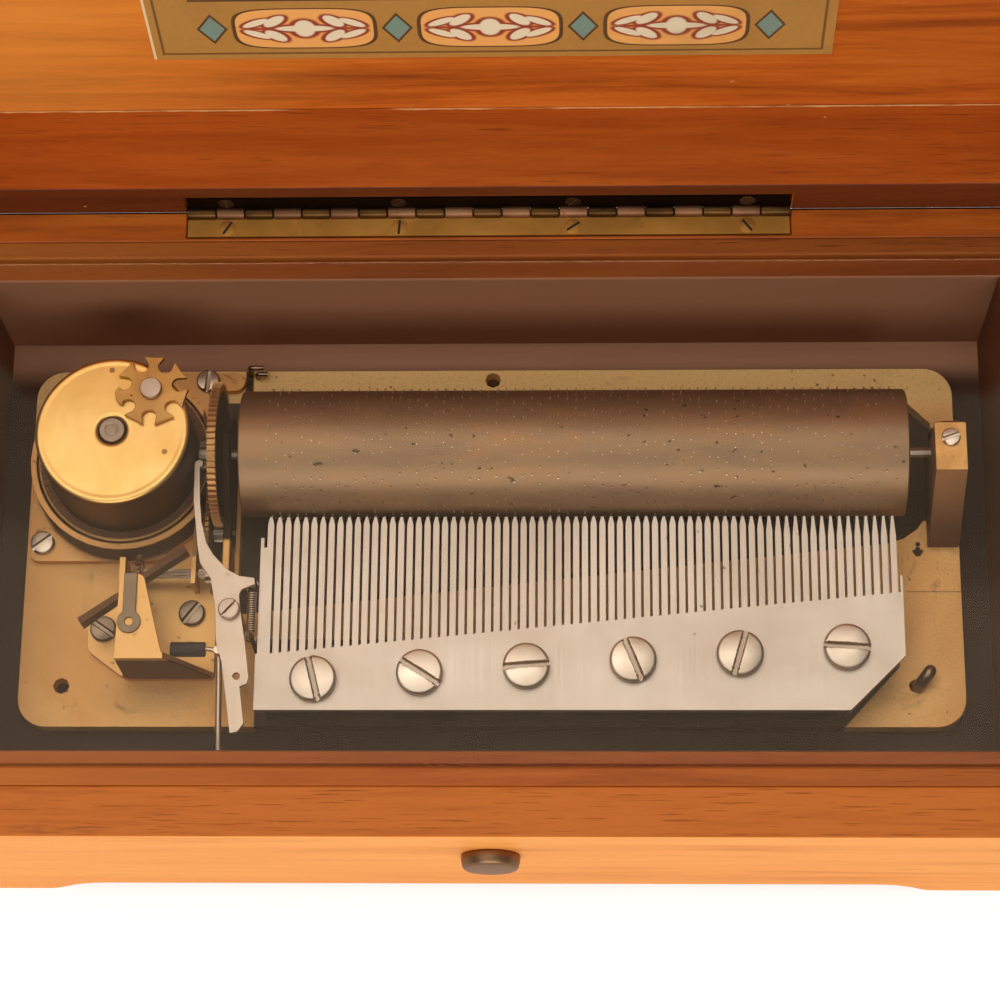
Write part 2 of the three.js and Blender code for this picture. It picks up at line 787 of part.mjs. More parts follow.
// The lid is drawn closed about the hinge's axis and then swung open in its own group
function lid() {
  const group = new THREE.Group();
  const low = lidGap / 2;
  const seam = low + lidDepthInside;
  const top = seam + lidPanelThickness;
  const front = caseFront - hingeY;
  const back = caseBack - hingeY;
  const inFront = front + lidWall;
  const inBack = back - lidWall;
  const inX = caseX - lidWall;
  const railTop = seam - glueLine;
  const bevel = sidePlate(outline([
    [back - edgeBevel, low - overrun], [back - edgeBevel, low], [back, low + edgeBevel],
    [back + overrun, low + edgeBevel], [back + overrun, low - overrun],
  ]), -caseX - overrun, caseX + overrun);
  const half = hingeLength / 2 + seatGap;
  const mortise = block(
    [-half, -hingeKnuckleRadius - leafWidth - seatGap, low - overrun],
    [half, back + overrun, low + leafThickness],
  );
  const hollow = alongX(hingeKnuckleRadius + seatGap, -half, half, 0, 0, mediumSides);
  const backRail = toSolid(block([-caseX, inBack, low], [caseX, back, railTop]))
    .subtract(toSolid(bevel)).subtract(toSolid(mortise)).subtract(toSolid(hollow));
  const cardTop = cardFromSeam + cardHeight;
  const leaf = hingeLeaf(1, low, low + leafThickness - seatGap);
  group.add(
    piece('lid_panel', block([-caseX, front, seam], [caseX, back, top]), wood),
    piece('lid_front_rail', block([-caseX, front, low], [caseX, inFront, railTop]), wood),
    piece('lid_back_rail', backRail, wood),
    piece('lid_left_rail', block(
      [-caseX, inFront + glueLine, low], [-inX, inBack - glueLine, railTop],
    ), wood),
    piece('lid_right_rail', block(
      [inX, inFront + glueLine, low], [caseX, inBack - glueLine, railTop],
    ), wood),
    piece('tune_card', block(
      [-cardWidth / 2, inBack - cardTop, railTop - cardThickness],
      [cardWidth / 2, inBack - cardFromSeam, railTop],
    ), paper),
    piece('hinge_lid_leaf', leaf, bronze),
  );
  group.position.set(0, hingeY, hingeZ);
  group.rotation.x = -lidOpenAngle;
  return group;
}

// The plate is open under the cylinder, and slotted for the great wheel and the first wheel
function bedplate() {
  const shape = roundedRectangle(
    -bedplateWidth / 2, bedplateWidth / 2, -bedplateDepth / 2, bedplateDepth / 2, bedplateCorner,
  );
  const well = new THREE.Shape();
  well.moveTo(wellLeft, wellFrontLeft);
  well.lineTo(wellRight - 2 * wellCorner, wellFrontRight);
  well.quadraticCurveTo(wellRight, wellFrontRight, wellRight, wellFrontRight + 2 * wellCorner);
  well.lineTo(wellRight, wellBack - wellCorner);
  well.lineTo(wellRight - wellCorner, wellBack);
  well.lineTo(wellLeft, wellBack);
  const low = -bedplateThickness;
  const wheelSlot = block(
    [firstWheelLeft - seatGap, wheelSlotFront, low - overrun],
    [greatLeft + greatThickness + seatGap, wheelSlotBack, overrun],
  );
  const holes = [
    [mountingHoleX, mountingHoleY, mountingHoleRadius],
    [railHoleX, railHoleY, mountingHoleRadius],
    [hookX, hookY, hookRadius + seatGap],
    [barrelX, barrelY, windingArborRadius + seatGap],
  ];
  let solid = toSolid(plate(shape, low, 0, 6))
    .subtract(toSolid(plate(well, low - overrun, overrun, 6)))
    .subtract(toSolid(wheelSlot));
  for (const [x, y, radius] of holes) {
    solid = solid.subtract(toSolid(upright(radius, low - overrun, overrun, x, y, smallSides)));
  }
  const anchor = upright(anchorRadius, low / 2, leverLow - seatGap, springX, anchorY, smallSides);
  return piece('bedplate', solid.add(toSolid(anchor)), brass);
}

// Root line of the teeth, sloping because bass teeth are longer than treble teeth
function rootY(x) {
  const length = (toothCount - 1) * toothPitch;
  return rootLeftY + ((rootRightY - rootLeftY) * (x - firstToothX)) / length;
}

function combScrewPlace(index) {
  const share = index / (combScrewCount - 1);
  return [
    combScrewFirstX + share * (combScrewLastX - combScrewFirstX),
    combScrewFirstY + share * (combScrewLastY - combScrewFirstY),
  ];
}

// Steel comb: 72 tongues with pointed tips, a short finger at each end and one corner cut off
function comb() {
  const half = toothWidth / 2;
  const tip = toothTipWidth / 2;
  const shoulder = toothTipY - toothTaper;
  const corners = [
    [combLeftX, combFrontY], [combRightX - combCorner, combFrontY],
    [combRightX, combFrontY + combCorner], [combRightX, endFingerTipY],
    [combRightX - endFingerWidth, endFingerTipY],
    [combRightX - endFingerWidth, rootY(combRightX)],
  ];
  for (let tooth = toothCount - 1; tooth >= 0; tooth -= 1) {
    const x = firstToothX + tooth * toothPitch;
    corners.push([x + half, rootY(x)], [x + half, shoulder], [x + tip, toothTipY]);
    corners.push([x - tip, toothTipY], [x - half, shoulder]);
    corners.push(tooth > 0 ? [x - half, rootY(x)] : [x - half, fingerNotchY]);
  }
  corners.push(
    [fingerLeft + fingerWidth, fingerNotchY], [fingerLeft + fingerWidth, fingerTipY],
    [fingerLeft, fingerTipY], [fingerLeft, rootLeftY], [combLeftX, rootLeftY],
  );
  let solid = toSolid(plate(outline(corners), combLow, combTop));
  for (let index = 0; index < combScrewCount; index += 1) {
    const [x, y] = combScrewPlace(index);
    const hole = upright(combScrewShank + seatGap, combLow - overrun, combTop + overrun, x, y, smallSides);
    solid = solid.subtract(toSolid(hole));
  }
  return piece('comb', solid, steel);
}

// Cast block that holds the comb up to the height of the cylinder's axis
function combBase() {
  const left = combLeftX + combBaseInset;
  const right = combRightX - combBaseInset;
  const front = combFrontY + combBaseInset;
  const high = combLow;
  const shape = outline([
    [left, front], [right - combCorner, front], [right, front + combCorner],
    [right, rootY(right) - combBaseInset], [left, rootY(left) - combBaseInset],
  ]);
  let solid = toSolid(plate(shape, 0, high));
  for (let index = 0; index < combScrewCount; index += 1) {
    const [x, y] = combScrewPlace(index);
    const hole = upright(combScrewShank + seatGap, combTop - combScrewDepth - seatGap, high + overrun, x, y, smallSides);
    solid = solid.subtract(toSolid(hole));
  }
  return piece('comb_base', solid, brass);
}

function combScrews() {
  return combScrewTurns.map((turn, index) => {
    const [x, y] = combScrewPlace(index);
    const screw = slottedScrew(
      x, y, combTop, combScrewRadius, combScrewHead, combScrewShank, combScrewDepth, turn,
    );
    return piece(`comb_screw_${index + 1}`, screw, steel);
  });
}

// Pinned cylinder with a recess in each end. Each comb tooth has its own track of pins.
const pinStepShare = 0.382;
function cylinderShell() {
  const bore = arborRadius + seatGap;
  const inner = cylinderRadius - cylinderRim;
  let solid = toSolid(turnedAlongX([
    [bore, cylinderLeft + cylinderRecess], [inner, cylinderLeft + cylinderRecess],
    [inner, cylinderLeft], [cylinderRadius, cylinderLeft],
    [cylinderRadius, cylinderRight], [inner, cylinderRight],
    [inner, cylinderRight - cylinderRecess], [bore, cylinderRight - cylinderRecess],
    [bore, cylinderLeft + cylinderRecess],
  ], 0, 0, fineSides));
  const facet = cylinderRadius * Math.cos(Math.PI / fineSides);
  const foot = cylinderRadius - cylinderRim / 2;
  for (let track = 0; track < toothCount; track += 1) {
    const place = Math.floor(fineSides * ((track * pinStepShare) % 1));
    const length = facet + pinHeight - foot;
    const pin = new THREE.CylinderGeometry(pinRadius, pinRadius, length, pinSides)
      .translate(0, foot + length / 2, 0)
      .rotateX(((place + 0.5) * 2 * Math.PI) / fineSides)
      .translate(firstToothX + track * toothPitch, 0, 0);
    solid = solid.add(toSolid(pin));
  }
  return piece('cylinder_shell', toGeometry(solid).translate(0, cylinderY, cylinderZ), bronze);
}

function shareOf(low, high, share) {
  return low + (high - low) * share;
}

// Steel arbor with the ten leaves that the barrel's crown wheel drives
function cylinderArbor() {
  const rod = alongX(arborRadius, arborLeft, arborRight, cylinderY, cylinderZ, smallSides);
  const gearModule = (2 * crownPinionRadius) / crownPinionLeaves;
  const leaf = Math.PI / crownPinionLeaves;
  const shape = gearOutline(
    crownPinionLeaves, crownPinionRadius - gearModule, crownPinionRadius + addendumShare * gearModule,
    rootShare, tipShare, -Math.PI / 2 + leaf,
  );
  const pinion = gearAlongX(shape, crownPinionLeft, crownPinionLeft + crownPinionLength, cylinderY, cylinderZ);
  return piece('cylinder_arbor', toSolid(rod).add(toSolid(pinion)), steel);
}

function greatWheel() {
  const shape = meshingGear(greatTeeth, greatRadius, greatPinionAngle);
  const wheel = gearAlongX(shape, greatLeft, greatLeft + greatThickness, cylinderY, cylinderZ);
  const bore = alongX(
    arborRadius + runningGap, greatLeft - overrun, greatLeft + greatThickness + overrun, cylinderY, cylinderZ,
  );
  return piece('great_wheel', toSolid(wheel).subtract(toSolid(bore)), brass);
}

// Right bearing, an arm cast in one curve up from the bedplate
function rightBracket() {
  const shape = new THREE.Shape();
  shape.moveTo(bracketFrontY, 0);
  shape.lineTo(bracketBackY, 0);
  shape.lineTo(bracketBackY, bracketTop - edgeBevel);
  shape.lineTo(bracketBackY - edgeBevel, bracketTop);
  shape.lineTo(bracketTopFrontY, bracketTop);
  shape.quadraticCurveTo(bracketTopFrontY / 2, bracketTop / 2, bracketFrontY, bracketFoot);
  const arm = sidePlate(shape, bracketLeft, bracketLeft + bracketWidth, 8);
  const bore = alongX(
    arborRadius + runningGap, bracketLeft - overrun, arborRight + seatGap, cylinderY, cylinderZ,
  );
  const screwHole = upright(
    bracketScrewRadius / 2 + seatGap, cylinderZ + arborRadius + overrun, bracketTop + overrun,
    bracketLeft + bracketWidth / 2, cylinderY, smallSides,
  );
  const screw = slottedScrew(
    bracketLeft + bracketWidth / 2, cylinderY, bracketTop, bracketScrewRadius, bracketScrewHead,
    bracketScrewRadius / 2, bracketFoot, 20,
  );
  return [
    piece('right_bracket', toSolid(arm).subtract(toSolid(bore)).subtract(toSolid(screwHole)), brass),
    piece('bracket_screw', screw, steel),
  ];
}

// Left bearing plate, which also takes the right ends of the two governor arbors
function sideCock() {
  const bridgeFront = firstArborY + firstPinionRadius * 2;
  const shape = outline([
    [sideCockFrontY, 0], [sideCockBackY, 0], [sideCockBackY - edgeBevel, sideCockLow],
    [cylinderY + 3 * arborRadius, sideCockTop], [cylinderY - 3 * arborRadius, sideCockTop],
    [bridgeFront, sideCockLow], [sideCockFrontY, sideCockLow],
  ]);
  const right = sideCockLeft + sideCockThickness;
  let solid = toSolid(sidePlate(shape, sideCockLeft, right));
  const bores = [
    [arborRadius, cylinderY, cylinderZ],
    [firstArborRadius, firstArborY, firstArborZ],
    [secondArborRadius, secondArborY, secondArborZ],
  ];
  for (const [radius, y, z] of bores) {
    const bore = alongX(radius + runningGap, sideCockLeft - overrun, right + overrun, y, z);
    solid = solid.subtract(toSolid(bore));
  }
  return piece('side_cock', solid, brass);
}

// Base plate under the barrel, with the fixed collar that the barrel turns in
function barrelBase() {
  const shape = outline([
    [barrelBaseLeft, barrelBaseFront], [barrelBaseRight - barrelBaseCorner, barrelBaseFront],
    [barrelBaseRight, barrelBaseFront + barrelBaseCorner], [barrelBaseRight, wellBack],
    [wellLeft, wellBack], [wellLeft, barrelBaseBack],
    [barrelBaseLeft + barrelBaseCorner, barrelBaseBack],
    [barrelBaseLeft, barrelBaseBack - barrelBaseCorner],
  ]);
  const collar = turned([
    [collarInner, 0], [collarRadius, 0], [collarRadius, collarTop], [collarInner, collarTop],
    [collarInner, 0],
  ], barrelX, barrelY, fineSides);
  const side = block(
    [barrelBaseRight, barrelY - collarRadius, -overrun],
    [barrelBaseRight + collarRadius, wellBack, collarTop + overrun],
  );
  let solid = toSolid(plate(shape, 0, barrelBaseThickness)).add(toSolid(collar)).subtract(toSolid(side));
  const holes = [
    [barrelX, barrelY, windingArborRadius], [...barrelScrewFront, barrelScrewShank],
    [...barrelScrewBack, barrelScrewShank],
  ];
  for (const [x, y, radius] of holes) {
    solid = solid.subtract(toSolid(upright(radius + seatGap, -overrun, collarTop, x, y, smallSides)));
  }
  const depth = barrelBaseThickness - seatGap;
  const screwTurns = [20, 85];
  const screws = [barrelScrewFront, barrelScrewBack].map(([x, y], index) => piece(
    `barrel_base_screw_${index + 1}`,
    slottedScrew(
      x, y, barrelBaseThickness, barrelScrewRadius, barrelScrewHead, barrelScrewShank, depth,
      screwTurns[index],
    ),
    steel,
  ));
  return [piece('barrel_base', solid, brass), ...screws];
}

// Drum with a rounded cap, and under it the flange whose upright teeth turn the cylinder
function barrel() {
  const capUnder = barrelTop - barrelWall;
  const inner = barrelRadius - barrelWall;
  const edge = [0, 30, 60, 90].map((degrees) => {
    const angle = THREE.MathUtils.degToRad(degrees);
    const cornerRadius = barrelRadius - barrelEdge + barrelEdge * Math.cos(angle);
    return [cornerRadius, barrelTop - barrelEdge + barrelEdge * Math.sin(angle)];
  });
  const shell = turned([
    [inner, flangeTop], [barrelRadius, flangeTop], ...edge,
    [barrelHole, barrelTop], [barrelHole, capUnder], [inner, capUnder], [inner, flangeTop],
  ], barrelX, barrelY, fineSides);
  return [piece('barrel_shell', shell, brightBrass), barrelWheel(), mainspring()];
}

function barrelWheel() {
  const bore = windingArborRadius + seatGap;
  const flangeLow = flangeTop - flangeThickness;
  let solid = toSolid(turned([
    [bore, barrelHubLow], [barrelHubRadius, barrelHubLow], [barrelHubRadius, flangeLow],
    [flangeRadius, flangeLow], [flangeRadius, flangeTop], [bore, flangeTop], [bore, barrelHubLow],
  ], 0, 0, fineSides));
  const pitch = (2 * Math.PI * crownPitchRadius) / crownTeeth;
  const root = (rootShare * pitch) / 2;
  const tip = (tipShare * pitch) / 2;
  const sunk = flangeTop - flangeThickness / 2;
  const tooth = outline([
    [-root, sunk], [root, sunk], [root, flangeTop], [tip, flangeTop + crownToothHeight],
    [-tip, flangeTop + crownToothHeight], [-root, flangeTop],
  ]);
  for (let index = 0; index < crownTeeth; index += 1) {
    const turn = (index * 2 * Math.PI) / crownTeeth;
    const shape = sidePlate(tooth, crownInnerRadius, flangeRadius - crownInset).rotateZ(turn);
    solid = solid.add(toSolid(shape));
  }
  return piece('barrel_wheel', toGeometry(solid).translate(barrelX, barrelY, 0), brass);
}

// Steel strip coiled up inside the drum
function mainspring() {
  const steps = mainspringTurns * smallSides;
  const inside = [];
  const outside = [];
  for (let step = 0; step <= steps; step += 1) {
    const angle = (step * 2 * Math.PI) / smallSides;
    const radius = shareOf(mainspringInner, mainspringOuter, step / steps);
    inside.unshift([radius * Math.cos(angle), radius * Math.sin(angle)]);
    outside.push([(radius + mainspringStrip) * Math.cos(angle), (radius + mainspringStrip) * Math.sin(angle)]);
  }
  const low = flangeTop + seatGap;
  const high = barrelTop - barrelWall - seatGap;
  const strip = plate(outline([...outside, ...inside]), low, high).translate(barrelX, barrelY, 0);
  return piece('mainspring', strip, darkSteel);
}

// Seven-armed stop wheel on the drum's cap, and the shouldered screw that it turns on
function geneva() {
  const high = barrelTop + runningGap + genevaThickness;
  const shoulder = high + runningGap;
  const screw = turned([
    [0, barrelTop], [genevaHole - runningGap, barrelTop], [genevaHole - runningGap, shoulder],
    [genevaScrewRadius, shoulder], [genevaScrewRadius, shoulder + genevaScrewHead],
    [0, shoulder + genevaScrewHead],
  ], genevaX, genevaY, mediumSides);
  let cross = toSolid(upright(genevaRadius, barrelTop + runningGap, high, 0, 0, fineSides))
    .subtract(toSolid(upright(genevaHole, barrelTop - overrun, high + overrun, 0, 0)));
  const notchPlace = genevaRadius * genevaNotchShare;
  for (let arm = 0; arm < genevaArms; arm += 1) {
    const turn = genevaTurn + ((arm + 0.5) * 2 * Math.PI) / genevaArms;
    const round = upright(genevaNotch, barrelTop - overrun, high + overrun, notchPlace, 0, smallSides);
    const mouth = block(
      [notchPlace, -genevaNotch * genevaMouthShare, barrelTop - overrun],
      [genevaRadius + overrun, genevaNotch * genevaMouthShare, high + overrun],
    );
    cross = cross.subtract(toSolid(round.rotateZ(turn))).subtract(toSolid(mouth.rotateZ(turn)));
  }
  return [
    piece('geneva_screw', screw, steel),
    piece('geneva_cross', toGeometry(cross).translate(genevaX, genevaY, 0), brass),
  ];
}

// Arbor that the mainspring is wound on, reaching through the floor to a flat key
function winding() {
  const keyHigh = panelLow - keyDrop;
  const keyLow = keyHigh - keyThickness;
  const headLow = barrelTop + runningGap / 2 - windingHeadDepth;
  const arbor = turned([
    [0, keyLow + seatGap], [windingArborRadius, keyLow + seatGap], [windingArborRadius, headLow],
    [windingHeadRadius, headLow], [windingHeadRadius, headLow + windingHeadDepth],
    [0, headLow + windingHeadDepth],
  ], barrelX, barrelY, mediumSides);
  const wings = roundedRectangle(-keySpan / 2, keySpan / 2, -keyWing / 2, keyWing / 2, keyWing / 3);
  const key = toSolid(plate(wings, keyLow, keyHigh, 4))
    .add(toSolid(upright(keyHub, keyLow, keyHigh, 0, 0)))
    .subtract(toSolid(upright(windingArborRadius + runningGap, keyLow - overrun, keyHigh + overrun, 0, 0)));
  const geometry = toGeometry(key).rotateZ(keyTurn).translate(barrelX, barrelY, 0);
  return [piece('winding_arbor', arbor, brass), piece('winding_key', geometry, steel)];
}

// First governor arbor: its pinion is driven by the great wheel
function firstArbor() {
  const rod = alongX(
    firstArborRadius, rightUprightX - seatGap, sideCockLeft + sideCockThickness + seatGap,
    firstArborY, firstArborZ,
  );
  const leaf = Math.PI / leaves;
  const shape = meshingGear(leaves, firstPinionRadius, greatPinionAngle + Math.PI + leaf);
  const pinion = gearAlongX(
    shape, firstPinionLeft, firstPinionLeft + firstPinionLength, firstArborY, firstArborZ,
  );
  const right = firstWheelLeft + firstWheelThickness;
  const wheelShape = meshingGear(firstWheelTeeth, firstWheelRadius, firstPairAngle);
  const wheel = gearAlongX(wheelShape, firstWheelLeft, right, firstArborY, firstArborZ);
  const bore = alongX(
    firstArborRadius + runningGap, firstWheelLeft - overrun, right + overrun, firstArborY, firstArborZ,
  );
  return [
    piece('first_arbor', toSolid(rod).add(toSolid(pinion)), steel),
    piece('first_wheel', toSolid(wheel).subtract(toSolid(bore)), brass),
  ];
}

// Second governor arbor: a pinion at its right end and the worm wheel at its left
function secondArbor() {
  const rod = alongX(
    secondArborRadius, leftUprightX - seatGap, sideCockLeft + sideCockThickness + seatGap,
    secondArborY, secondArborZ,
  );
  const leaf = Math.PI / leaves;
  const shape = meshingGear(leaves, secondPinionRadius, firstPairAngle + Math.PI + leaf);
  const pinion = gearAlongX(
    shape, secondPinionLeft, secondPinionLeft + secondPinionLength, secondArborY, secondArborZ,
  );
  const root = secondArborY - flyY - wormRadius - wormDepth;
  const tip = secondArborY - flyY - wormCore - wormDepth;
  const wormShape = gearOutline(wormWheelTeeth, root, tip, rootShare, tipShare, Math.PI);
  const wormWheel = gearAlongX(
    wormShape, flyX - wormWheelThickness / 2, flyX + wormWheelThickness / 2, secondArborY, secondArborZ,
  );
  const solid = toSolid(rod).add(toSolid(pinion)).add(toSolid(wormWheel));
  return piece('second_arbor', solid, brass);
}

// The worm's thread, a ridge that climbs anticlockwise round the fly's staff
function wormRidge() {
  const start = wormLow + wormPitch / 2;
  const turns = (wormHigh - wormLow) / wormPitch - 1;
  const steps = Math.round(turns * wormSides);
  const root = wormCore / 2;
  const section = [
    [root, -wormThreadRoot / 2], [wormRadius, -wormThreadTip / 2],
    [wormRadius, wormThreadTip / 2], [root, wormThreadRoot / 2],
  ];
  const corners = section.length;
  const positions = [];
  const index = [0, 1, 2, 0, 2, 3];
  for (let step = 0; step <= steps; step += 1) {
    const height = start + (step * wormPitch) / wormSides;
    const angle = Math.PI / 2 + ((height - secondArborZ) / wormPitch - 0.5) * 2 * Math.PI;
    for (const [radius, up] of section) {
      positions.push(radius * Math.cos(angle), radius * Math.sin(angle), height + up);
    }
    for (let corner = 0; step < steps && corner < corners; corner += 1) {
      const near = step * corners + corner;
      const beside = step * corners + ((corner + 1) % corners);
      index.push(beside, near, near + corners, beside, near + corners, beside + corners);
    }
  }
  const last = steps * corners;
  index.push(last, last + 2, last + 1, last, last + 3, last + 2);
  const geometry = new THREE.BufferGeometry();
  geometry.setAttribute('position', new THREE.Float32BufferAttribute(positions, 3));
  geometry.setIndex(index);
  return geometry;
}

// Upright fly: a worm below and two flat vanes above, braked by the air
function fly() {
  const staff = turned([
    [0, wormStaffLow], [wormCore, wormStaffLow], [wormCore, flyHigh + runningGap],
    [flyPivotRadius, flyHigh + runningGap], [flyPivotRadius, flyPivotTop], [0, flyPivotTop],
  ], 0, 0, smallSides);
  const vanes = block([-flyRadius, -flyVane / 2, flyLow], [flyRadius, flyVane / 2, flyHigh]);
  const solid = toSolid(staff).add(toSolid(wormRidge()))
    .add(toSolid(upright(flyHub, flyLow, flyHigh, 0, 0, smallSides)))
    .add(toSolid(vanes.rotateZ(flyTurn)));
  return piece('fly_screw', toGeometry(solid).translate(flyX, flyY, 0), steel);
}

// Bent brass frame of the governor: foot, front wall, roof over the fly and two bearing uprights
function governorFrame() {
  const foot = outline([
    [frameShoulderX, frameShoulderBack], [frameShoulderX, frameShoulderFront],
    [frameLeft, frameFrontY], [frameRightBase, frameFrontY], [frameRightBase, frameCornerY],
    [frameTongueX, frameTongueY], [leftUprightX, frameTongueY], [frameWaistX, frameWaistY],
  ]);
  const front = outline([
    [frameLeft, 0], [frameRightBase, 0], [frameRightBase, frameBase], [frameRightTop, frameTop],
    [frameLeft, frameTop],
  ]);
  const roof = outline([
    [frameLeft, frameFrontY], [frameRightTop, frameFrontY], [frameTipRight, frameBackY],
    [frameTipLeft, frameBackY],
  ]);
  const leftUpright = outline([
    [uprightFront, 0], [frameTongueY, 0], [frameTongueY, uprightTop], [uprightFront, uprightTop],
  ]);
  const rightUpright = outline([
    [uprightFront, 0], [rightUprightBack, 0], [rightUprightBack, rightUprightNoseTop],
    [frameTongueY, uprightTop], [uprightFront, uprightTop],
  ]);
  let solid = toSolid(plate(foot, 0, frameBase))
    .add(toSolid(frontPlate(front, frameFrontY, frameFrontY + frameSheet)))
    .add(toSolid(plate(roof, frameTop - frameSheet, frameTop)))
    .add(toSolid(sidePlate(leftUpright, leftUprightX, leftUprightX + leftUprightThickness)))
    .add(toSolid(sidePlate(rightUpright, rightUprightX, rightUprightX + rightUprightThickness)));
  const left = leftUprightX - overrun;
  const right = rightUprightX + rightUprightThickness + overrun;
  const holes = [
    alongX(secondArborRadius + runningGap, left, right, secondArborY, secondArborZ),
    alongX(firstArborRadius + runningGap, rightUprightX - overrun, right, firstArborY, firstArborZ),
    upright(flyPivotRadius + runningGap, flyHigh, frameTop + overrun, flyX, flyY, smallSides),
    ...[governorScrewLeft, governorScrewRight].map(([x, y]) => (
      upright(governorScrewShank + seatGap, -overrun, frameBase + overrun, x, y, smallSides)
    )),
  ];
  for (const hole of holes) solid = solid.subtract(toSolid(hole));
  return piece('governor_frame', solid, brass);
}

// Steel cover strip on the roof, which holds the fly's upper pivot down
function governorStrap() {
  const shape = new THREE.Shape();
  const side = Math.asin(strapWidth / 2 / strapRound);
  shape.moveTo(flyX + strapWidth / 2, frameBackY);
  shape.lineTo(flyX - strapWidth / 2, frameBackY);
  shape.absarc(flyX, strapRoundY, strapRound, Math.PI / 2 + side, 2.5 * Math.PI - side, false);
  const hole = new THREE.Path().absarc(flyX, strapRoundY, wireRivetRadius, 0, 2 * Math.PI, true);
  shape.holes.push(hole);
  const strap = plate(shape, frameTop, frameTop + strapThickness, 6);
  const screwTurns = [-35, 60];
  const screws = [governorScrewLeft, governorScrewRight].map(([x, y], index) => piece(
    `governor_screw_${index + 1}`,
    slottedScrew(
      x, y, frameBase, governorScrewRadius, governorScrewHead, governorScrewShank,
      frameBase - seatGap, screwTurns[index],
    ),
    steel,
  ));
  return [piece('governor_strap', strap, steel), ...screws];
}

// Outline of the stop lever as shares of its length, from the pivot, anticlockwise from the hooked end
const leverShares = [
  [-0.145, 0.546], [-0.135, 0.557], [-0.116, 0.555], [-0.116, 0.536], [-0.126, 0.532],
  [-0.12, 0.405], [-0.111, 0.324], [-0.09, 0.244], [-0.065, 0.204], [-0.015, 0.149],
  [0.032, 0.124], [0.082, 0.118], [0.086, 0.095], [0.04, 0.076], [0.032, 0.057],
  [0.037, 0.006], [0.059, -0.12], [0.076, -0.246], [0.069, -0.267], [0.046, -0.277],
  [0.059, -0.38], [0.032, -0.443], [0.017, -0.443], [-0.002, -0.313], [-0.021, -0.189],
  [-0.044, -0.111], [-0.05, 0.006], [-0.071, 0.116], [-0.111, 0.174], [-0.122, 0.235],
  [-0.143, 0.405],
];
const leverHoleShare = [0.033, -0.24];

function stopLever() {
  const corners = leverShares.map(([across, along]) => (
    [leverX + across * leverLength, leverY + along * leverLength]
  ));
  const high = leverLow + leverThickness;
  const holeX = leverX + leverHoleShare[0] * leverLength;
  const holeY = leverY + leverHoleShare[1] * leverLength;
  const solid = toSolid(plate(outline(corners.reverse()), leverLow, high))
    .subtract(toSolid(upright(leverHole, leverLow - overrun, high + overrun, leverX, leverY)))
    .subtract(toSolid(upright(leverSmallHole, leverLow - overrun, high + overrun, holeX, holeY, smallSides)))
    .add(toSolid(upright(springPinRadius, springPinLow, high, springX, springPinY, smallSides)));
  return piece('stop_lever', solid, steel);
}

// Stepped post with a slotted head, which the lever turns on
function leverPost() {
  const seat = leverLow + leverThickness + seatGap;
  const step = leverLow - seatGap;
  const post = toSolid(upright(leverPostRadius, 0, step, leverX, leverY));
  const screw = slottedScrew(
    leverX, leverY, seat, leverScrewRadius, leverScrewHead, leverPostShank, seat - step / 2, 25,
  );
  return piece('lever_post', post.add(toSolid(screw)), steel);
}

// Bent wire riveted under the lever: one end carries the rubber brake beside the fly, the other
// runs forward through the lining to the stop bar
function stopWire() {
  const bend = wire([
    [wireBrakeX, wireBrakeY, wireHigh], [shareOf(wireBrakeX, wireBendX, 0.5), wireBrakeY, wireHigh],
    [wireBendX, wireBrakeY, wireHigh],
    [wireFrontX, wireBrakeY - wireRadius * 3, wireHigh - wireRadius / 2],
    [wireFrontX, wireDipY, wireDipZ], [wireFrontX, wireInnerY, wireLow],
    [wireFrontX, wireEndY, wireLow],
  ], wireRadius, wireSides, 24);
  const rivet = upright(wireRivetRadius, wireRivetLow, leverLow, wireRivetX, wireRivetY, smallSides);
  const left = wireBrakeX - runningGap;
  const sleeve = toSolid(alongX(sleeveRadius, left, left + sleeveLength, wireBrakeY, wireHigh, mediumSides))
    .subtract(toSolid(alongX(
      wireRadius + runningGap, left - overrun, left + sleeveLength + overrun, wireBrakeY, wireHigh,
    )));
  return [
    piece('stop_wire', toSolid(bend).add(toSolid(rivet)), steel),
    piece('brake_sleeve', sleeve, rubber),
  ];
}

// Small pull spring between the lever's pin and the pin on the bedplate, wound as one wire with an
// open hook round each pin
const curlSteps = 8;
const curlSides = 5;
const hookSteps = 4;
function springPath() {
  const points = [];
  for (let step = 0; step <= hookSteps; step += 1) {
    const angle = (Math.PI * step) / hookSteps;
    points.push([
      springX + springHook * Math.cos(angle), springPinY + springHook * Math.sin(angle), springZ,
    ]);
  }
  const steps = springCurls * curlSteps;
  for (let step = 0; step <= steps; step += 1) {
    const angle = Math.PI + (2 * Math.PI * step) / curlSteps;
    points.push([
      springX + springRadius * Math.cos(angle), shareOf(springBack, springFront, step / steps),
      springZ + springRadius * Math.sin(angle),
    ]);
  }
  for (let step = 0; step <= hookSteps; step += 1) {
    const angle = Math.PI + (Math.PI * step) / hookSteps;
    points.push([
      springX + springHook * Math.cos(angle), anchorY + springHook * Math.sin(angle), springZ,
    ]);
  }
  return points;
}

// The least distance between two stretches of the wire that lie more than half a curl apart
function leastSpringGap(points) {
  let least = Infinity;
  for (let first = 0; first < points.length; first += 1) {
    for (let second = first + curlSteps / 2 + 1; second < points.length; second += 1) {
      const apart = new THREE.Vector3(...points[first]).distanceTo(new THREE.Vector3(...points[second]));
      least = Math.min(least, apart - 2 * springWire);
    }
  }
  return least;
}

function leverSpring() {
  const points = springPath();
  console.log(`lever spring: least gap to itself ${leastSpringGap(points).toFixed(3)}`);
  return piece('lever_spring', wire(points, springWire, curlSides, points.length - 1), steel);
}

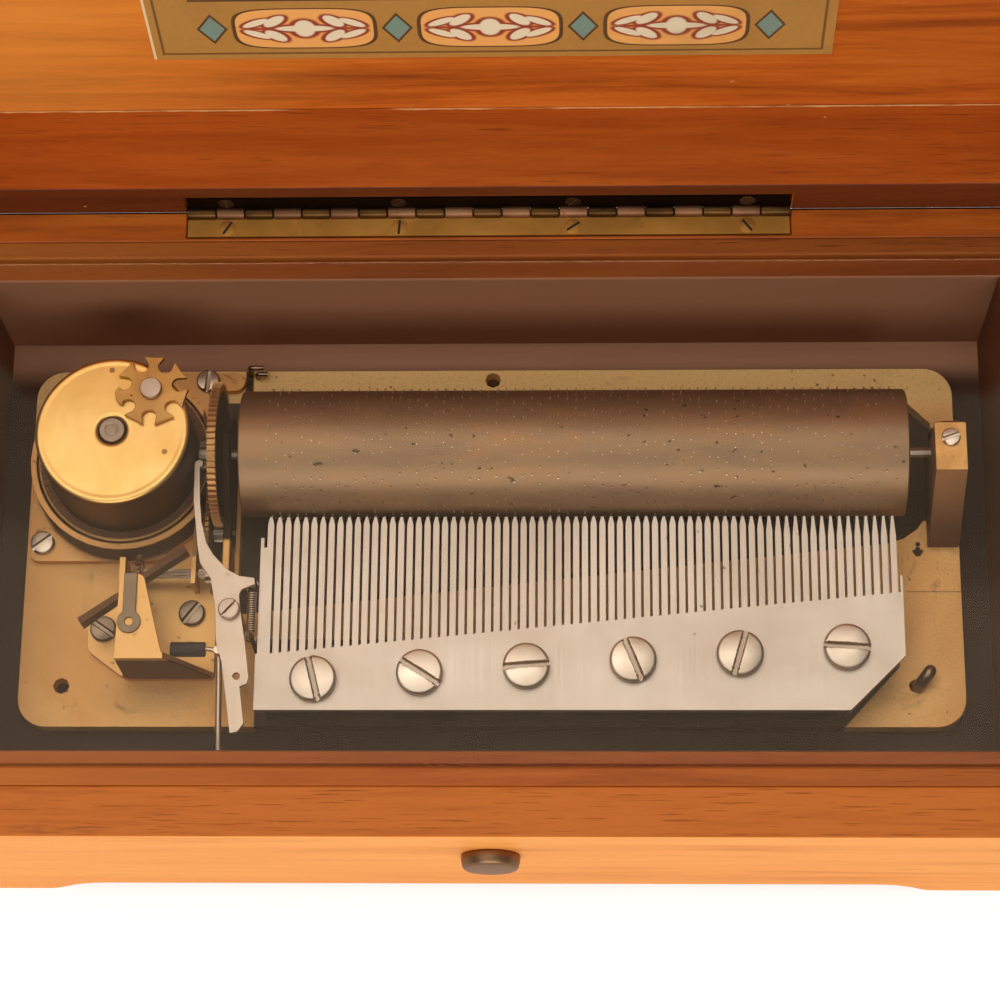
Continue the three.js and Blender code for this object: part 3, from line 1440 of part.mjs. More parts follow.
// Round slide on the front, with a stem through the wall and a hidden bar forked over the stop wire
function stopKnob() {
  const front = -caseFront;
  const barFront = liningFront + seatGap;
  const barBack = barFront + barThickness;
  const bevel = knobRadius - knobFaceRadius;
  const knob = turnedToFront([
    [0, -barBack], [knobStem, -barBack], [knobStem, front + runningGap],
    [knobRadius, front + runningGap], [knobFaceRadius, front + knobProud - bevel],
    [knobFaceRadius - bevel, front + knobProud], [0, front + knobProud],
  ], knobX, knobZ, fineSides);
  const bar = frontPlate(outline(barOutline(0, 0, barLow)), barFront, barBack);
  const reach = wireRadius + runningGap;
  const fork = block(
    [wireFrontX - reach, barFront - overrun, barLow - overrun],
    [wireFrontX + reach, barBack + overrun, barForkTop],
  );
  return piece('stop_knob', toSolid(knob).add(toSolid(bar)).subtract(toSolid(fork)), bronze);
}

// Curled steel pin standing in the bedplate's front right corner
function locatingPin() {
  const top = [hookX + hookReach / 2, hookY + hookReach / 2, hookHeight];
  const bend = wire([
    [hookX, hookY, -hookDepth], [hookX, hookY, 0], [hookX, hookY, hookHeight / 2], top,
    [hookX + hookReach, hookY + hookReach, hookHeight - hookRadius],
  ], hookRadius, wireSides, 14);
  return piece('locating_pin', bend, steel);
}

const musicBox = new THREE.Group();
musicBox.add(
  frontWall(), backWall(), ...sideWalls(), bottomPanel(), ...linings(), glassCover(),
  ...hingeOnCase(), lid(),
  bedplate(), combBase(), comb(), ...combScrews(),
  cylinderShell(), cylinderArbor(), greatWheel(), ...rightBracket(), sideCock(),
  ...barrelBase(), ...barrel(), ...geneva(), ...winding(),
  ...firstArbor(), secondArbor(), fly(), governorFrame(), ...governorStrap(),
  stopLever(), leverPost(), ...stopWire(), leverSpring(), stopKnob(), locatingPin(),
);

// The origin goes to the middle of the box's outer size at the height it stands on
const bounds = new THREE.Box3().setFromObject(musicBox);
const middle = bounds.getCenter(new THREE.Vector3());
musicBox.position.set(-middle.x, -middle.y, -bounds.min.z);

export default musicBox;
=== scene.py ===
"""A cylinder music box with its lid open: a varnished wooden case, a glass cover and a comb movement."""
import json
import bmesh
import bpy
import numpy as np
from mathutils import Matrix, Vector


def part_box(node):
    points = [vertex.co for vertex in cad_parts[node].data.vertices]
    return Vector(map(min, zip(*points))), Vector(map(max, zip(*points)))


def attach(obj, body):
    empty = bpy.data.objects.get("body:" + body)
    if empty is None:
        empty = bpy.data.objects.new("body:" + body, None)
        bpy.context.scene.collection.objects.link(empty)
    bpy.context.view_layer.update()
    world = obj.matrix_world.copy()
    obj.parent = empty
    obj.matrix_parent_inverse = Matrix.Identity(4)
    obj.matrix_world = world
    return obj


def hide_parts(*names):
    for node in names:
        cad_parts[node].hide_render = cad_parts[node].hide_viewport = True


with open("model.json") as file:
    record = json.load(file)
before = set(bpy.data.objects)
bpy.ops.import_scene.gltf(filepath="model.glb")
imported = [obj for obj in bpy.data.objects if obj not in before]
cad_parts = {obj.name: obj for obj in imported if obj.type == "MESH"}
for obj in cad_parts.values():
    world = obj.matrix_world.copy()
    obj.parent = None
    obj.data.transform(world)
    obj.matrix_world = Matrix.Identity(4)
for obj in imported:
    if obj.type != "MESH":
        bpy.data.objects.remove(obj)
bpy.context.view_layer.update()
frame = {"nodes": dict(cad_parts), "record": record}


# Case boards. Four boards of straight-grained fruitwood, butted at the corners and sawn out below so
# that the box stands on bracket feet. They are stained orange-brown and varnished; their front faces
# take a paler copy of the varnish as painted light.

def box_of(node):
    """The least and the greatest corner of a CAD node's box, in metres."""
    return tuple(np.array(corner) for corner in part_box(node))


bed_low, bed_high = box_of("bedplate")
BEDPLATE_THICKNESS = 0.003
middle = (bed_low + bed_high) / 2
MOVEMENT = np.array([middle[0], middle[1], bed_low[2] + BEDPLATE_THICKNESS])


def spot(x, y, z):
    """A point given in millimetres from the middle of the bedplate's top face."""
    return MOVEMENT + np.array([x, y, z]) / 1000


def level(axis, millimetres):
    """One coordinate of such a point: the middle's own plus the millimetres."""
    return float(MOVEMENT[axis] + millimetres / 1000)


def srgb(red, green, blue):
    """A colour written as it looks on a screen, 0 to 255, in the linear values that nodes take."""
    share = np.array([red, green, blue]) / 255
    linear = np.where(share <= 0.04045, share / 12.92, ((share + 0.055) / 1.055) ** 2.4)
    return (*linear.tolist(), 1.0)


class Reading:
    """A number that a shader socket carries. Arithmetic on it adds the Math nodes for it."""

    def __init__(self, finish, socket):
        self.finish, self.socket = finish, socket

    def maths(self, operation, first, second=0.0):
        """One Math node on two numbers or readings."""
        return self.finish.node("ShaderNodeMath", {"operation": operation}, {0: first, 1: second})

    def __add__(self, other): return self.maths("ADD", self, other)
    def __radd__(self, other): return self.maths("ADD", other, self)
    def __sub__(self, other): return self.maths("SUBTRACT", self, other)
    def __rsub__(self, other): return self.maths("SUBTRACT", other, self)
    def __mul__(self, other): return self.maths("MULTIPLY", self, other)
    def __rmul__(self, other): return self.maths("MULTIPLY", other, self)
    def __truediv__(self, other): return self.maths("DIVIDE", self, other)
    def __lt__(self, other): return self.maths("LESS_THAN", self, other)
    def __pow__(self, other): return self.maths("POWER", self, other)
    def __abs__(self): return self.maths("ABSOLUTE", self)
    def least(self, other): return self.maths("MINIMUM", self, other)
    def most(self, other): return self.maths("MAXIMUM", self, other)


class Finish:
    """A material being made. One method adds any node: its settings first, then its sockets."""

    def __init__(self, name, **constants):
        self.material = bpy.data.materials.new(name)
        self.material.use_nodes = True
        self.tree = self.material.node_tree
        self.shader = self.tree.nodes["Principled BSDF"]
        for socket, value in constants.items():
            self.shader.inputs[socket.replace("_", " ")].default_value = value

    def node(self, kind, settings=None, sockets=None, output=0):
        """Adds a node of a kind, sets it, feeds its sockets and reads one of its outputs."""
        made = self.tree.nodes.new(kind)
        for name, value in (settings or {}).items():
            if name == "stops":
                ramp = made.color_ramp
                ramp.elements[0].position, ramp.elements[0].color = value[0]
                ramp.elements[1].position, ramp.elements[1].color = value[-1]
                for place, colour in value[1:-1]:
                    ramp.elements.new(place).color = colour
            else:
                setattr(made, name, value)
        for name, value in (sockets or {}).items():
            if isinstance(value, Reading):
                self.tree.links.new(value.socket, made.inputs[name])
            else:
                made.inputs[name].default_value = value
        return Reading(self, made.outputs[output])

    def place(self, scale, shift):
        """Object coordinates in metres, moved and stretched."""
        at = self.node("ShaderNodeTexCoord", output="Object")
        return self.node("ShaderNodeMapping", None, {"Vector": at, "Location": shift, "Scale": scale})

    def noise(self, scale, detail, roughness, distortion=0.0, shift=(0, 0, 0)):
        """Soft noise with features one over scale metres wide: one scale for all, or one for each axis."""
        return self.node("ShaderNodeTexNoise", None, {
            "Vector": self.place(np.ones(3) * scale, shift), "Scale": 1.0, "Detail": detail,
            "Roughness": roughness, "Distortion": distortion})

    def along(self, axis, shift=0.0):
        """One Object coordinate, in metres."""
        at = self.node("ShaderNodeTexCoord", output="Object")
        return self.node("ShaderNodeSeparateXYZ", None, {0: at}, output=axis) - shift

    def from_line(self, axis, centre):
        """How far a point lies from a line along one axis: the root of its two other offsets squared."""
        first, second = (self.along(other, float(centre[other])) for other in range(3) if other != axis)
        return (first * first + second * second) ** 0.5

    def fade(self, value, low, high):
        """0 below low and 1 above high, with a smooth rise between."""
        return self.node("ShaderNodeMapRange", {"interpolation_type": "SMOOTHSTEP"},
                         {"Value": value, "From Min": low, "From Max": high})

    def ramp(self, value, *stops):
        """The colour that a row of stops, each a place and a colour, gives for a value."""
        return self.node("ShaderNodeValToRGB", {"stops": stops}, {"Fac": value})

    def mix(self, factor, first, second):
        """The first colour at factor 0, the second at 1, and their blend between."""
        return self.node("ShaderNodeMix", {"data_type": "RGBA"}, {0: factor, 6: first, 7: second}, output=2)

    def set(self, **links):
        """Feeds the shader's own sockets."""
        for socket, value in links.items():
            self.tree.links.new(value.socket, self.shader.inputs[socket.replace("_", " ")])
        return self.material

    def bump(self, height, distance, strength):
        """A normal tilted by the slope of a height, which is distance metres tall at 1."""
        return self.node("ShaderNodeBump", None,
                         {"Height": height, "Distance": distance, "Strength": strength})


def varnished(name, tones, grain, seed, gloss=0.42, figure_share=1.0, inside=None, painted_left_light=0.0,
              torn=None):
    """Wood whose colour, from pale through mid to dark tones, follows wavy growth lines along one axis,
    with short dark pores on top. inside gives the stain and the height below which it covers the wood.
    The left end can be painted paler, as painted light, and the right end then a little darker, as
    painted shade. torn is the place along Y beyond which the varnish has come off in a ragged pale line."""
    wood = Finish(name, Coat_Weight=0.04, Coat_Roughness=0.25, Specular_IOR_Level=0.22)
    pale, mid, dark = tones
    stretch, pore_stretch = np.ones(3), np.ones(3)
    stretch[grain], pore_stretch[grain] = 0.07, 0.035
    sway = wood.noise(34 * stretch, 3, 0.5, 0.5, (seed, seed * 1.7, seed * 0.6))
    lines = wood.noise(260 * stretch, 5, 0.6, 0.8, (seed * 2.1, seed, seed))
    fine = wood.noise(1500 * stretch, 3, 0.7, 0.2, (seed, 0, seed))
    pores = wood.noise(3200 * pore_stretch, 1, 0.5, 0.0, (seed, seed, 0))
    figure = sway * (0.5 * figure_share) + lines * 0.32 + fine * 0.12 + (0.28 - 0.25 * figure_share)
    colour = wood.ramp(figure, (0.36, srgb(*dark)), (0.46, srgb(*mid)), (0.55, srgb(*pale)),
                       (0.68, srgb(*mid)))
    pore = wood.fade(pores, 0.64, 0.72) * wood.fade(sway, 0.44, 0.62)
    colour = wood.mix(pore * 0.4, colour, srgb(*(0.42 * np.array(dark))))
    streak = wood.fade(lines, 0.6, 0.7) * wood.fade(fine, 0.5, 0.62)
    colour = wood.mix(streak * (0.45 * figure_share), colour, srgb(*(0.5 * np.array(dark))))
    fleck = wood.fade(wood.noise(420, 2, 0.4, 0, (seed, 3, 1)), 0.79, 0.81)
    colour = wood.mix(fleck * 0.3, colour, srgb(255, 214, 160))
    # Painted light and shade: paler towards the left end, a little darker towards the right end
    if painted_left_light:
        painted_lit_tone = np.minimum(np.array(pale) * (1.12, 1.25, 1.5) + (10, 8, 6), 255)
        colour = wood.mix((1 - wood.fade(wood.along(0), -0.095, -0.005)) * painted_left_light, colour, srgb(*painted_lit_tone))
        colour = wood.mix(wood.fade(wood.along(0), 0.0, 0.09) * (0.6 * painted_left_light), colour, srgb(*dark))
    if torn:
        ragged = wood.along(1) + (wood.noise((300, 60, 60), 3, 0.7) - 0.5) * 0.0005
        patchy = wood.fade(wood.noise((45, 5, 5), 3, 0.6, 0, (seed, 2, 7)), 0.36, 0.56)
        pale_wood = wood.fade(ragged, torn - 0.00042, torn - 0.0003) * patchy
        colour = wood.mix(pale_wood * 0.9, colour, srgb(255, 218, 150))
    rough = gloss + fine * 0.16 + pore * 0.2
    if inside:
        deep, top = inside
        below = wood.along(2) < top
        colour = wood.mix(below * (0.9 - fine * 0.2), colour, srgb(*deep))
        rough = rough + below * 0.2
    return wood.set(Base_Color=colour, Roughness=rough,
                    Normal=wood.bump(lines * 0.4 + fine * 0.4 - pore, 0.0001, 0.5))


def solid_copy(node, dissolve=True, corners=None):
    """The CAD node's triangles joined at their corners, with flat areas dissolved into single faces.
    corners gives the least and most height of upright edges to round, and the radius."""
    source = frame["nodes"][node].data
    work = bmesh.new()
    work.from_mesh(source)
    bmesh.ops.remove_doubles(work, verts=work.verts, dist=1e-6)
    if dissolve:
        bmesh.ops.dissolve_limit(work, angle_limit=np.radians(0.6), verts=work.verts, edges=work.edges)
        bmesh.ops.connect_verts_concave(work, faces=work.faces)
    if corners:
        low, high, round_off = corners
        upright = [edge for edge in work.edges
                   if abs(edge.verts[0].co.z - edge.verts[1].co.z) > 0.98 * edge.calc_length()
                   and low < edge.calc_length() < high and edge.is_manifold and edge.is_convex
                   and edge.calc_face_angle(0) > 0.5]
        bmesh.ops.bevel(work, geom=upright, offset=round_off, segments=5, affect="EDGES", profile=0.5,
                        clamp_overlap=True)
    mesh = bpy.data.meshes.new(node + "_dressed")
    work.to_mesh(mesh)
    work.free()
    return mesh


def points_of(mesh):
    """A mesh's points as an array with a row each."""
    points = np.empty(len(mesh.vertices) * 3)
    mesh.vertices.foreach_get("co", points)
    return points.reshape(-1, 3)


def move_points(mesh, points):
    """Puts a mesh's points at the places in such an array."""
    mesh.vertices.foreach_set("co", points.ravel())


def body_of(node):
    """The record's body that holds a CAD node."""
    return next(name for name, nodes in frame["record"]["behaviour"]["bodies"].items() if node in nodes)


def show(name, mesh, material, node, replaces=True, smooth=None):
    """Puts a mesh in the scene as a piece that rides with a CAD node's body and stands for it."""
    piece = bpy.data.objects.new(name, mesh)
    bpy.context.scene.collection.objects.link(piece)
    mesh.materials.clear()
    mesh.materials.append(material)
    if smooth is not None:
        mesh.shade_smooth()
        edge = bmesh.new()
        edge.from_mesh(mesh)
        for line in edge.edges:
            shallow = line.calc_face_angle(0) < np.radians(smooth)
            line.smooth = bool(len(line.link_faces) == 2 and shallow)
        edge.to_mesh(mesh)
        edge.free()
    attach(piece, body_of(node))
    if replaces:
        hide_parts(node)
    return piece


def ease(piece, width, segments=2, angle=32, slide=False):
    """Rounds the edges at which a piece turns by more than an angle, in degrees."""
    bevel = piece.modifiers.new("eased_edge", "BEVEL")
    bevel.width, bevel.segments, bevel.loop_slide = width, segments, slide
    bevel.limit_method, bevel.angle_limit = "ANGLE", np.radians(angle)


def dress(node, material, edge=0.0, segments=2, angle=32, corners=None):
    """A copy of a CAD solid, with its hard edges eased by a small bevel or its round faces smoothed."""
    copy = solid_copy(node, corners=corners)
    piece = show(node + "_dressed", copy, material, node, smooth=None if edge else angle)
    if edge:
        ease(piece, edge, segments, angle)
    return piece


def refinish(piece, material, chosen):
    """Gives another material to the faces whose outward direction a rule chooses."""
    piece.data.materials.append(material)
    place = len(piece.data.materials) - 1
    for face in piece.data.polygons:
        if chosen(face.normal):
            face.material_index = place


BOARD_EDGE, SEAM_EDGE = 0.0005, 0.0001
# The front faces take paler tones than the rest of the same boards: painted light
FRONT_PAINTED_LIGHT_TONES = ((252, 172, 86), (244, 158, 74), (214, 124, 54))
CASE_TONES = ((200, 108, 30), (178, 88, 19), (126, 55, 9))
front_wood_painted_light = varnished("front_varnish_painted_light", FRONT_PAINTED_LIGHT_TONES, 0, 1.3, 0.42, 0.6)
long_wood = varnished("case_varnish_lengthways", CASE_TONES, 0, 4.1)
cross_wood = varnished("case_varnish_crossways", CASE_TONES, 1, 2.6)
front_board = dress("front_wall", long_wood, BOARD_EDGE, angle=60)
refinish(front_board, front_wood_painted_light, lambda facing: facing.y < -0.9)
# Painted shade: the chamfers along the seam between the back wall's top and the lid's rail are near black, for
# the shade in the gap
seam_painted_shade = Finish("seam_painted_shade", Specular_IOR_Level=0.0, Base_Color=srgb(58, 27, 12),
                    Roughness=0.95).material
back_board = dress("back_wall", long_wood, SEAM_EDGE, 1)
refinish(back_board, seam_painted_shade, lambda facing: facing.y > 0.5 and facing.z > 0.5)
dress("left_wall", cross_wood, BOARD_EDGE, angle=60)
dress("right_wall", cross_wood, BOARD_EDGE, angle=60)


# Linings and floor. Thinner strips glued inside the boards, rabbeted at the top for the glass. Their
# rims are varnished like the case; below the glass they and the floor are stained nearly black, except
# that the back lining and the back of the floor are painted far paler, as painted light. The back
# lining's rim is painted darker, as painted shade, and each lining paler at its left end and darker at
# its right, as painted light and shade.

rim_level = float(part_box("glass_cover")[0][2])
RIM_TONES = ((184, 98, 28), (164, 80, 18), (116, 50, 8))
# The back lining's rim takes darker tones: painted shade under the open lid
BACK_RIM_PAINTED_SHADE = 0.82
# The back lining's stain is much paler than the other linings': painted light on its face toward the front
lining_stains_and_painted_light = {"front_lining": (58, 42, 31), "back_lining": (156, 112, 84), "left_lining": (56, 41, 31),
                 "right_lining": (56, 41, 31)}
for index, (node, deep) in enumerate(lining_stains_and_painted_light.items()):
    tones = np.array(RIM_TONES) * (BACK_RIM_PAINTED_SHADE if node == "back_lining" else 1.0)
    # The last argument paints each lining paler at its left end and darker at its right: painted light and
    # shade
    dress(node, varnished(node + "_stain", tones, 0 if index < 2 else 1, 6.2 + index, 0.45, 0.8,
                          (deep, rim_level), 0.4), 0.0003)
floor_wood = Finish("floor_stain", Specular_IOR_Level=0.3)
streaks = floor_wood.noise((40, 900, 900), 4, 0.6, 0.4)
# Painted light: the floor turns pale towards the back, behind the bedplate
floor_painted_light = floor_wood.fade(floor_wood.along(1), level(1, 30), level(1, 36))
stained = floor_wood.mix(streaks, srgb(50, 34, 24), srgb(68, 48, 34))
pale_wood = floor_wood.mix(streaks, srgb(178, 128, 98), srgb(204, 152, 120))
floor_wood.set(Base_Color=floor_wood.mix(floor_painted_light, stained, pale_wood),
               Roughness=0.65 + streaks * 0.2, Normal=floor_wood.bump(streaks, 0.0001, 0.4))
dress("bottom_panel", floor_wood.material, 0.0003)


# Glass cover. A loose sheet of window glass with ground edges, lying in the rabbet. It mirrors a
# little of the room at both faces and carries faint smears and dust.

glass = Finish("cover_glass", Base_Color=srgb(222, 194, 164), Metallic=1.0)
smear = glass.noise((30, 55, 30), 4, 0.6, 0.8)
dust = glass.fade(glass.noise(900, 2, 0.4), 0.78, 0.81)
sheen = glass.node("ShaderNodeFresnel", None, {"IOR": 1.42})
glass.set(Alpha=(sheen * 0.31 + smear * 0.008 + dust * 0.1).least(1.0), Roughness=0.03 + smear * 0.05)
dress("glass_cover", glass.material, 0.0003)


# Hinge. One long strip hinge of brass: two leaves bent round a wire, let into the rim and the lid,
# each held by four small countersunk screws.

def tidy(mesh):
    """Joins doubled points and turns every face outwards."""
    work = bmesh.new()
    work.from_mesh(mesh)
    bmesh.ops.remove_doubles(work, verts=work.verts, dist=2e-7)
    bmesh.ops.recalc_face_normals(work, faces=work.faces)
    work.to_mesh(mesh)
    work.free()


def lattice(name, grid):
    """A mesh from rings of points; each ring closes on itself and rings at a point become a pole."""
    rings, sides = grid.shape[:2]
    ring, side = np.meshgrid(np.arange(rings - 1), np.arange(sides), indexing="ij")
    beside = (side + 1) % sides
    faces = np.stack([ring * sides + side, ring * sides + beside,
                      (ring + 1) * sides + beside, (ring + 1) * sides + side], -1).reshape(-1, 4)
    mesh = bpy.data.meshes.new(name)
    mesh.from_pydata(grid.reshape(-1, 3).tolist(), [], faces.tolist())
    tidy(mesh)
    return mesh


def turned(name, radius, height, centre, axis, sides):
    """Radii and heights, one pair a ring, carried once round an axis through a centre."""
    radius, height = np.asarray(radius, float), np.asarray(height, float)
    angle = np.linspace(0, 2 * np.pi, sides, endpoint=False)
    grid = np.empty((len(radius), sides, 3))
    round_a, round_b = {0: (1, 2), 1: (2, 0), 2: (0, 1)}[axis]
    grid[..., round_a] = radius[:, None] * np.cos(angle)
    grid[..., round_b] = radius[:, None] * np.sin(angle)
    grid[..., axis] = height[:, None]
    grid += np.asarray(centre)
    return lattice(name, grid)


def joined(name, meshes):
    """Several meshes made one."""
    work = bmesh.new()
    for mesh in meshes:
        work.from_mesh(mesh)
    whole = bpy.data.meshes.new(name)
    work.to_mesh(whole)
    work.free()
    return whole


def slab(name, outline, low, high):
    """A flat outline in metres, carried straight up from low to high."""
    outline = np.asarray(outline, float)
    count = len(outline)
    points = np.concatenate([np.column_stack([outline, np.full(count, low)]),
                             np.column_stack([outline, np.full(count, high)])])
    here = np.arange(count)
    there = (here + 1) % count
    sides = np.column_stack([here, there, there + count, here + count]).tolist()
    mesh = bpy.data.meshes.new(name)
    mesh.from_pydata(points.tolist(), [], sides + [list(range(count)), list(range(count, 2 * count))])
    tidy(mesh)
    return mesh


def worn_brass(name, pale, deep, rough, spots, seed, cast=0.0):
    """Brass whose tone drifts in soft clouds, with brown spots, fine scratches and a cast grain."""
    metal = Finish(name, Metallic=1.0)
    clouds = metal.noise(60, 5, 0.6, 0.6, (seed, seed, seed))
    grain = metal.noise(1500, 3, 0.6, 0, (seed, 0, 0))
    scratch = metal.noise((240, 3200, 3200), 2, 0.5, 0.3, (0, seed, 0))
    stains = metal.fade(metal.noise(260, 3, 0.6, 0.8, (seed, 2, 5)), 0.63, 0.74)
    pits = metal.fade(metal.noise(1300, 1, 0.4, 0, (3, seed, 1)), 0.75, 0.8)
    colour = metal.mix(metal.fade(clouds, 0.32, 0.68), srgb(*deep), srgb(*pale))
    colour = metal.mix(stains * (0.4 * spots), colour, srgb(*(0.55 * np.array(deep))))
    colour = metal.mix(pits * (0.7 * spots), colour, srgb(58, 36, 22))
    surface = grain * (0.35 + cast) + scratch * 0.12 - pits * 0.6
    return metal.set(Base_Color=colour, Roughness=rough + clouds * 0.12 + stains * 0.15 + scratch * 0.06,
                     Normal=metal.bump(surface, 0.00006 + 0.00008 * cast, 0.6))


case_leaf_low, case_leaf_high = box_of("hinge_case_leaf")
pin_low, pin_high = box_of("hinge_pin")
HINGE_AXIS = (pin_low + pin_high) / 2
HINGE_LENGTH = pin_high[0] - pin_low[0]
KNUCKLES = 21
KNUCKLE_RADIUS = 0.00114
LEAF_DEEP, LEAF_NEAR, LEAF_FAR, LEAF_DROP = 0.0005, 0.0006, 0.0042, 0.0003
leaf_brass = worn_brass("leaf_brass", (214, 164, 84), (186, 138, 66), 0.6, 0.3, 3.0)
knuckle_bright = worn_brass("knuckle_bright", (94, 66, 36), (56, 38, 20), 0.3, 0.6, 4.0)
knuckle_brass = worn_brass("knuckle_brass", (142, 102, 74), (104, 72, 50), 0.42, 0.8, 5.0)
# Painted shade: the lid's leaf is near-black brass and its screws a darker brass than the case leaf's, for the
# shade on the lid's seam face
lid_screw_painted_shade = worn_brass("lid_screw_painted_shade", (104, 74, 44), (70, 46, 26), 0.42, 0.6, 8.0)
lid_leaf_painted_shade = worn_brass("lid_leaf_painted_shade", (36, 20, 10), (24, 13, 6), 0.6, 0.4, 6.0)


def knuckle_row(name, first):
    """Every second knuckle of the hinge: short barrels with rounded ends on one axis."""
    step = HINGE_LENGTH / KNUCKLES
    ends = np.array([0, 0.8, 0.95, 1, 1, 0.95, 0.8, 0]) * KNUCKLE_RADIUS
    reach = step / 2 - 0.00004
    along = np.array([-reach, -reach, -reach + 0.0001, -reach + 0.0003,
                      reach - 0.0003, reach - 0.0001, reach, reach])
    parts = []
    for index in range(first, KNUCKLES, 2):
        centre = HINGE_AXIS + np.array([-HINGE_LENGTH / 2 + (index + 0.5) * step, 0, 0])
        # The outermost two reach into the ends of the recess
        outer = np.sign(along) == {0: -1, KNUCKLES - 1: 1}.get(index, 0)
        parts.append(turned(name, ends, along + outer * np.sign(along) * 0.00022, centre, 0, 20))
    return parts


# Painted shade: the hinge screws' slots are near-black bars on the heads instead of cut recesses
slot_dark = Finish("screw_slot", Base_Color=srgb(38, 24, 14), Roughness=0.7).material
leaf_back, leaf_top = HINGE_AXIS[1] - LEAF_NEAR, HINGE_AXIS[2] - LEAF_DROP
case_leaf = slab("case_leaf", [
    (case_leaf_low[0], case_leaf_low[1]), (case_leaf_high[0], case_leaf_low[1]),
    (case_leaf_high[0], leaf_back), (case_leaf_low[0], leaf_back)], leaf_top - LEAF_DEEP, leaf_top)
show("case_leaf", case_leaf, leaf_brass, "hinge_case_leaf")
show("case_knuckles", joined("case_knuckles", knuckle_row("case_knuckles", 0)), knuckle_bright,
     "hinge_case_leaf", smooth=40)
lid_leaf_low, lid_leaf_high = box_of("hinge_lid_leaf")
LEAN = np.radians(95)


def from_closed(y, z):
    """A point beside the hinge on the closed lid, in metres, where it lies with the lid open."""
    return (HINGE_AXIS[1] + y * np.cos(LEAN) + z * np.sin(LEAN),
            HINGE_AXIS[2] - y * np.sin(LEAN) + z * np.cos(LEAN))


leaf_corners = [from_closed(y, z) for y, z in (
    (-LEAF_FAR, LEAF_DROP), (-LEAF_NEAR, LEAF_DROP),
    (-LEAF_NEAR, LEAF_DROP + LEAF_DEEP), (-LEAF_FAR, LEAF_DROP + LEAF_DEEP))]
lid_leaf = slab("lid_leaf", leaf_corners, lid_leaf_low[0], lid_leaf_high[0])
move_points(lid_leaf, points_of(lid_leaf)[:, [2, 0, 1]])
show("lid_leaf", lid_leaf, lid_leaf_painted_shade, "hinge_lid_leaf")
show("lid_knuckles", joined("lid_knuckles", knuckle_row("lid_knuckles", 1)), knuckle_brass,
     "hinge_lid_leaf", smooth=40)


def hinge_screw(name, place, across, node, metal, turn):
    """A countersunk screw lying flush in a hinge leaf, with its slot as a thin dark bar that paints the
    slot's shade. Both are made lying flat, then turned by the rows of across and moved to their place."""
    radius, rise = 0.00135, 0.00015
    half_long, half_wide = 0.94 * radius, 0.0002
    head = turned(name, [0, radius * 0.85, radius, radius], [rise, rise, rise / 2, 0], (0, 0, 0), 2, 28)
    line, side = np.array([np.cos(turn), np.sin(turn)]), np.array([-np.sin(turn), np.cos(turn)])
    corners = [line * half_long * a + side * half_wide * b
               for a, b in ((-1, -1), (1, -1), (1, 1), (-1, 1))]
    bar = slab(name + "_slot", corners, rise * 0.5, rise * 1.3)
    for mesh in (head, bar):
        move_points(mesh, points_of(mesh) @ across.T + place)
        tidy(mesh)
    show(name, head, metal, node, replaces=False, smooth=30)
    show(name + "_slot", bar, slot_dark, node, replaces=False)


FLAT = np.eye(3)
LEANING = np.array([[1, 0, 0], [0, np.cos(LEAN), -np.sin(LEAN)], [0, -np.sin(LEAN), -np.cos(LEAN)]]).T
SCREW_FROM_AXIS = 0.0027
screw_places = ((0.066, 1.0, 1.5), (0.353, 1.5, -0.7), (0.642, 0.6, -0.9), (0.93, -0.9, -0.8))
for index, (length_share, case_turn, lid_turn) in enumerate(screw_places):
    x = pin_low[0] + length_share * HINGE_LENGTH
    hinge_screw(f"case_leaf_screw_{index + 1}", np.array([x, HINGE_AXIS[1] - SCREW_FROM_AXIS, leaf_top]),
                FLAT, "hinge_case_leaf", leaf_brass, case_turn)
    hinge_screw(f"lid_leaf_screw_{index + 1}", np.array([x, *from_closed(-SCREW_FROM_AXIS, LEAF_DROP)]),
                LEANING, "hinge_lid_leaf", lid_screw_painted_shade, lid_turn)
frame["nodes"]["hinge_pin"].material_slots[0].material = knuckle_brass


# Lid. Four rails and a panel of the same wood, glued up as a shallow tray and hung on the hinge. It
# stands open, leaning back a little.

RAIL_TONES = ((196, 102, 32), (174, 84, 24), (122, 54, 12))
# The lid panel is painted paler towards its left end, as painted light
lid_wood = varnished("lid_varnish", ((228, 130, 44), (204, 102, 28), (142, 64, 14)), 0, 9.7, 0.42, 1.1,
                     painted_left_light=0.5)
lid_rail_wood = varnished("lid_rail_varnish", RAIL_TONES, 0, 12.2)
# Painted shade: a dark copy of the rail varnish for the lid rail's face toward the front, at the seam
seam_wood_painted_shade = varnished("lid_seam_painted_shade", ((106, 46, 12), (90, 36, 8), (62, 24, 4)), 0, 14.2)
lid_side_wood = varnished("lid_side_varnish", CASE_TONES, 2, 5.5)
dress("lid_panel", lid_wood, 0.0012, 3)
dress("lid_front_rail", lid_rail_wood, BOARD_EDGE)
joint_with_panel = float(points_of(frame["nodes"]["lid_back_rail"].data)[:, 1].max())
back_rail_wood = varnished("lid_back_rail_varnish", RAIL_TONES, 0, 12.2, torn=joint_with_panel)
back_rail = dress("lid_back_rail", back_rail_wood, SEAM_EDGE, 1)
# The rail's face toward the front takes the painted-shade varnish
refinish(back_rail, seam_wood_painted_shade, lambda facing: facing.y < -0.9)
# Painted shade on the rail's chamfer at the seam, as on the wall's
refinish(back_rail, seam_painted_shade, lambda facing: facing.y < -0.3 and facing.z < -0.3)
dress("lid_left_rail", lid_side_wood, BOARD_EDGE)
dress("lid_right_rail", lid_side_wood, BOARD_EDGE)


# Tune card. A printed paper card pasted inside the lid. Its print is a plain ornament of this script's
# own: olive bands with three orange fields of leaves, teal diamonds between, and a ruled ivory field.

card_low, card_high = box_of("tune_card")
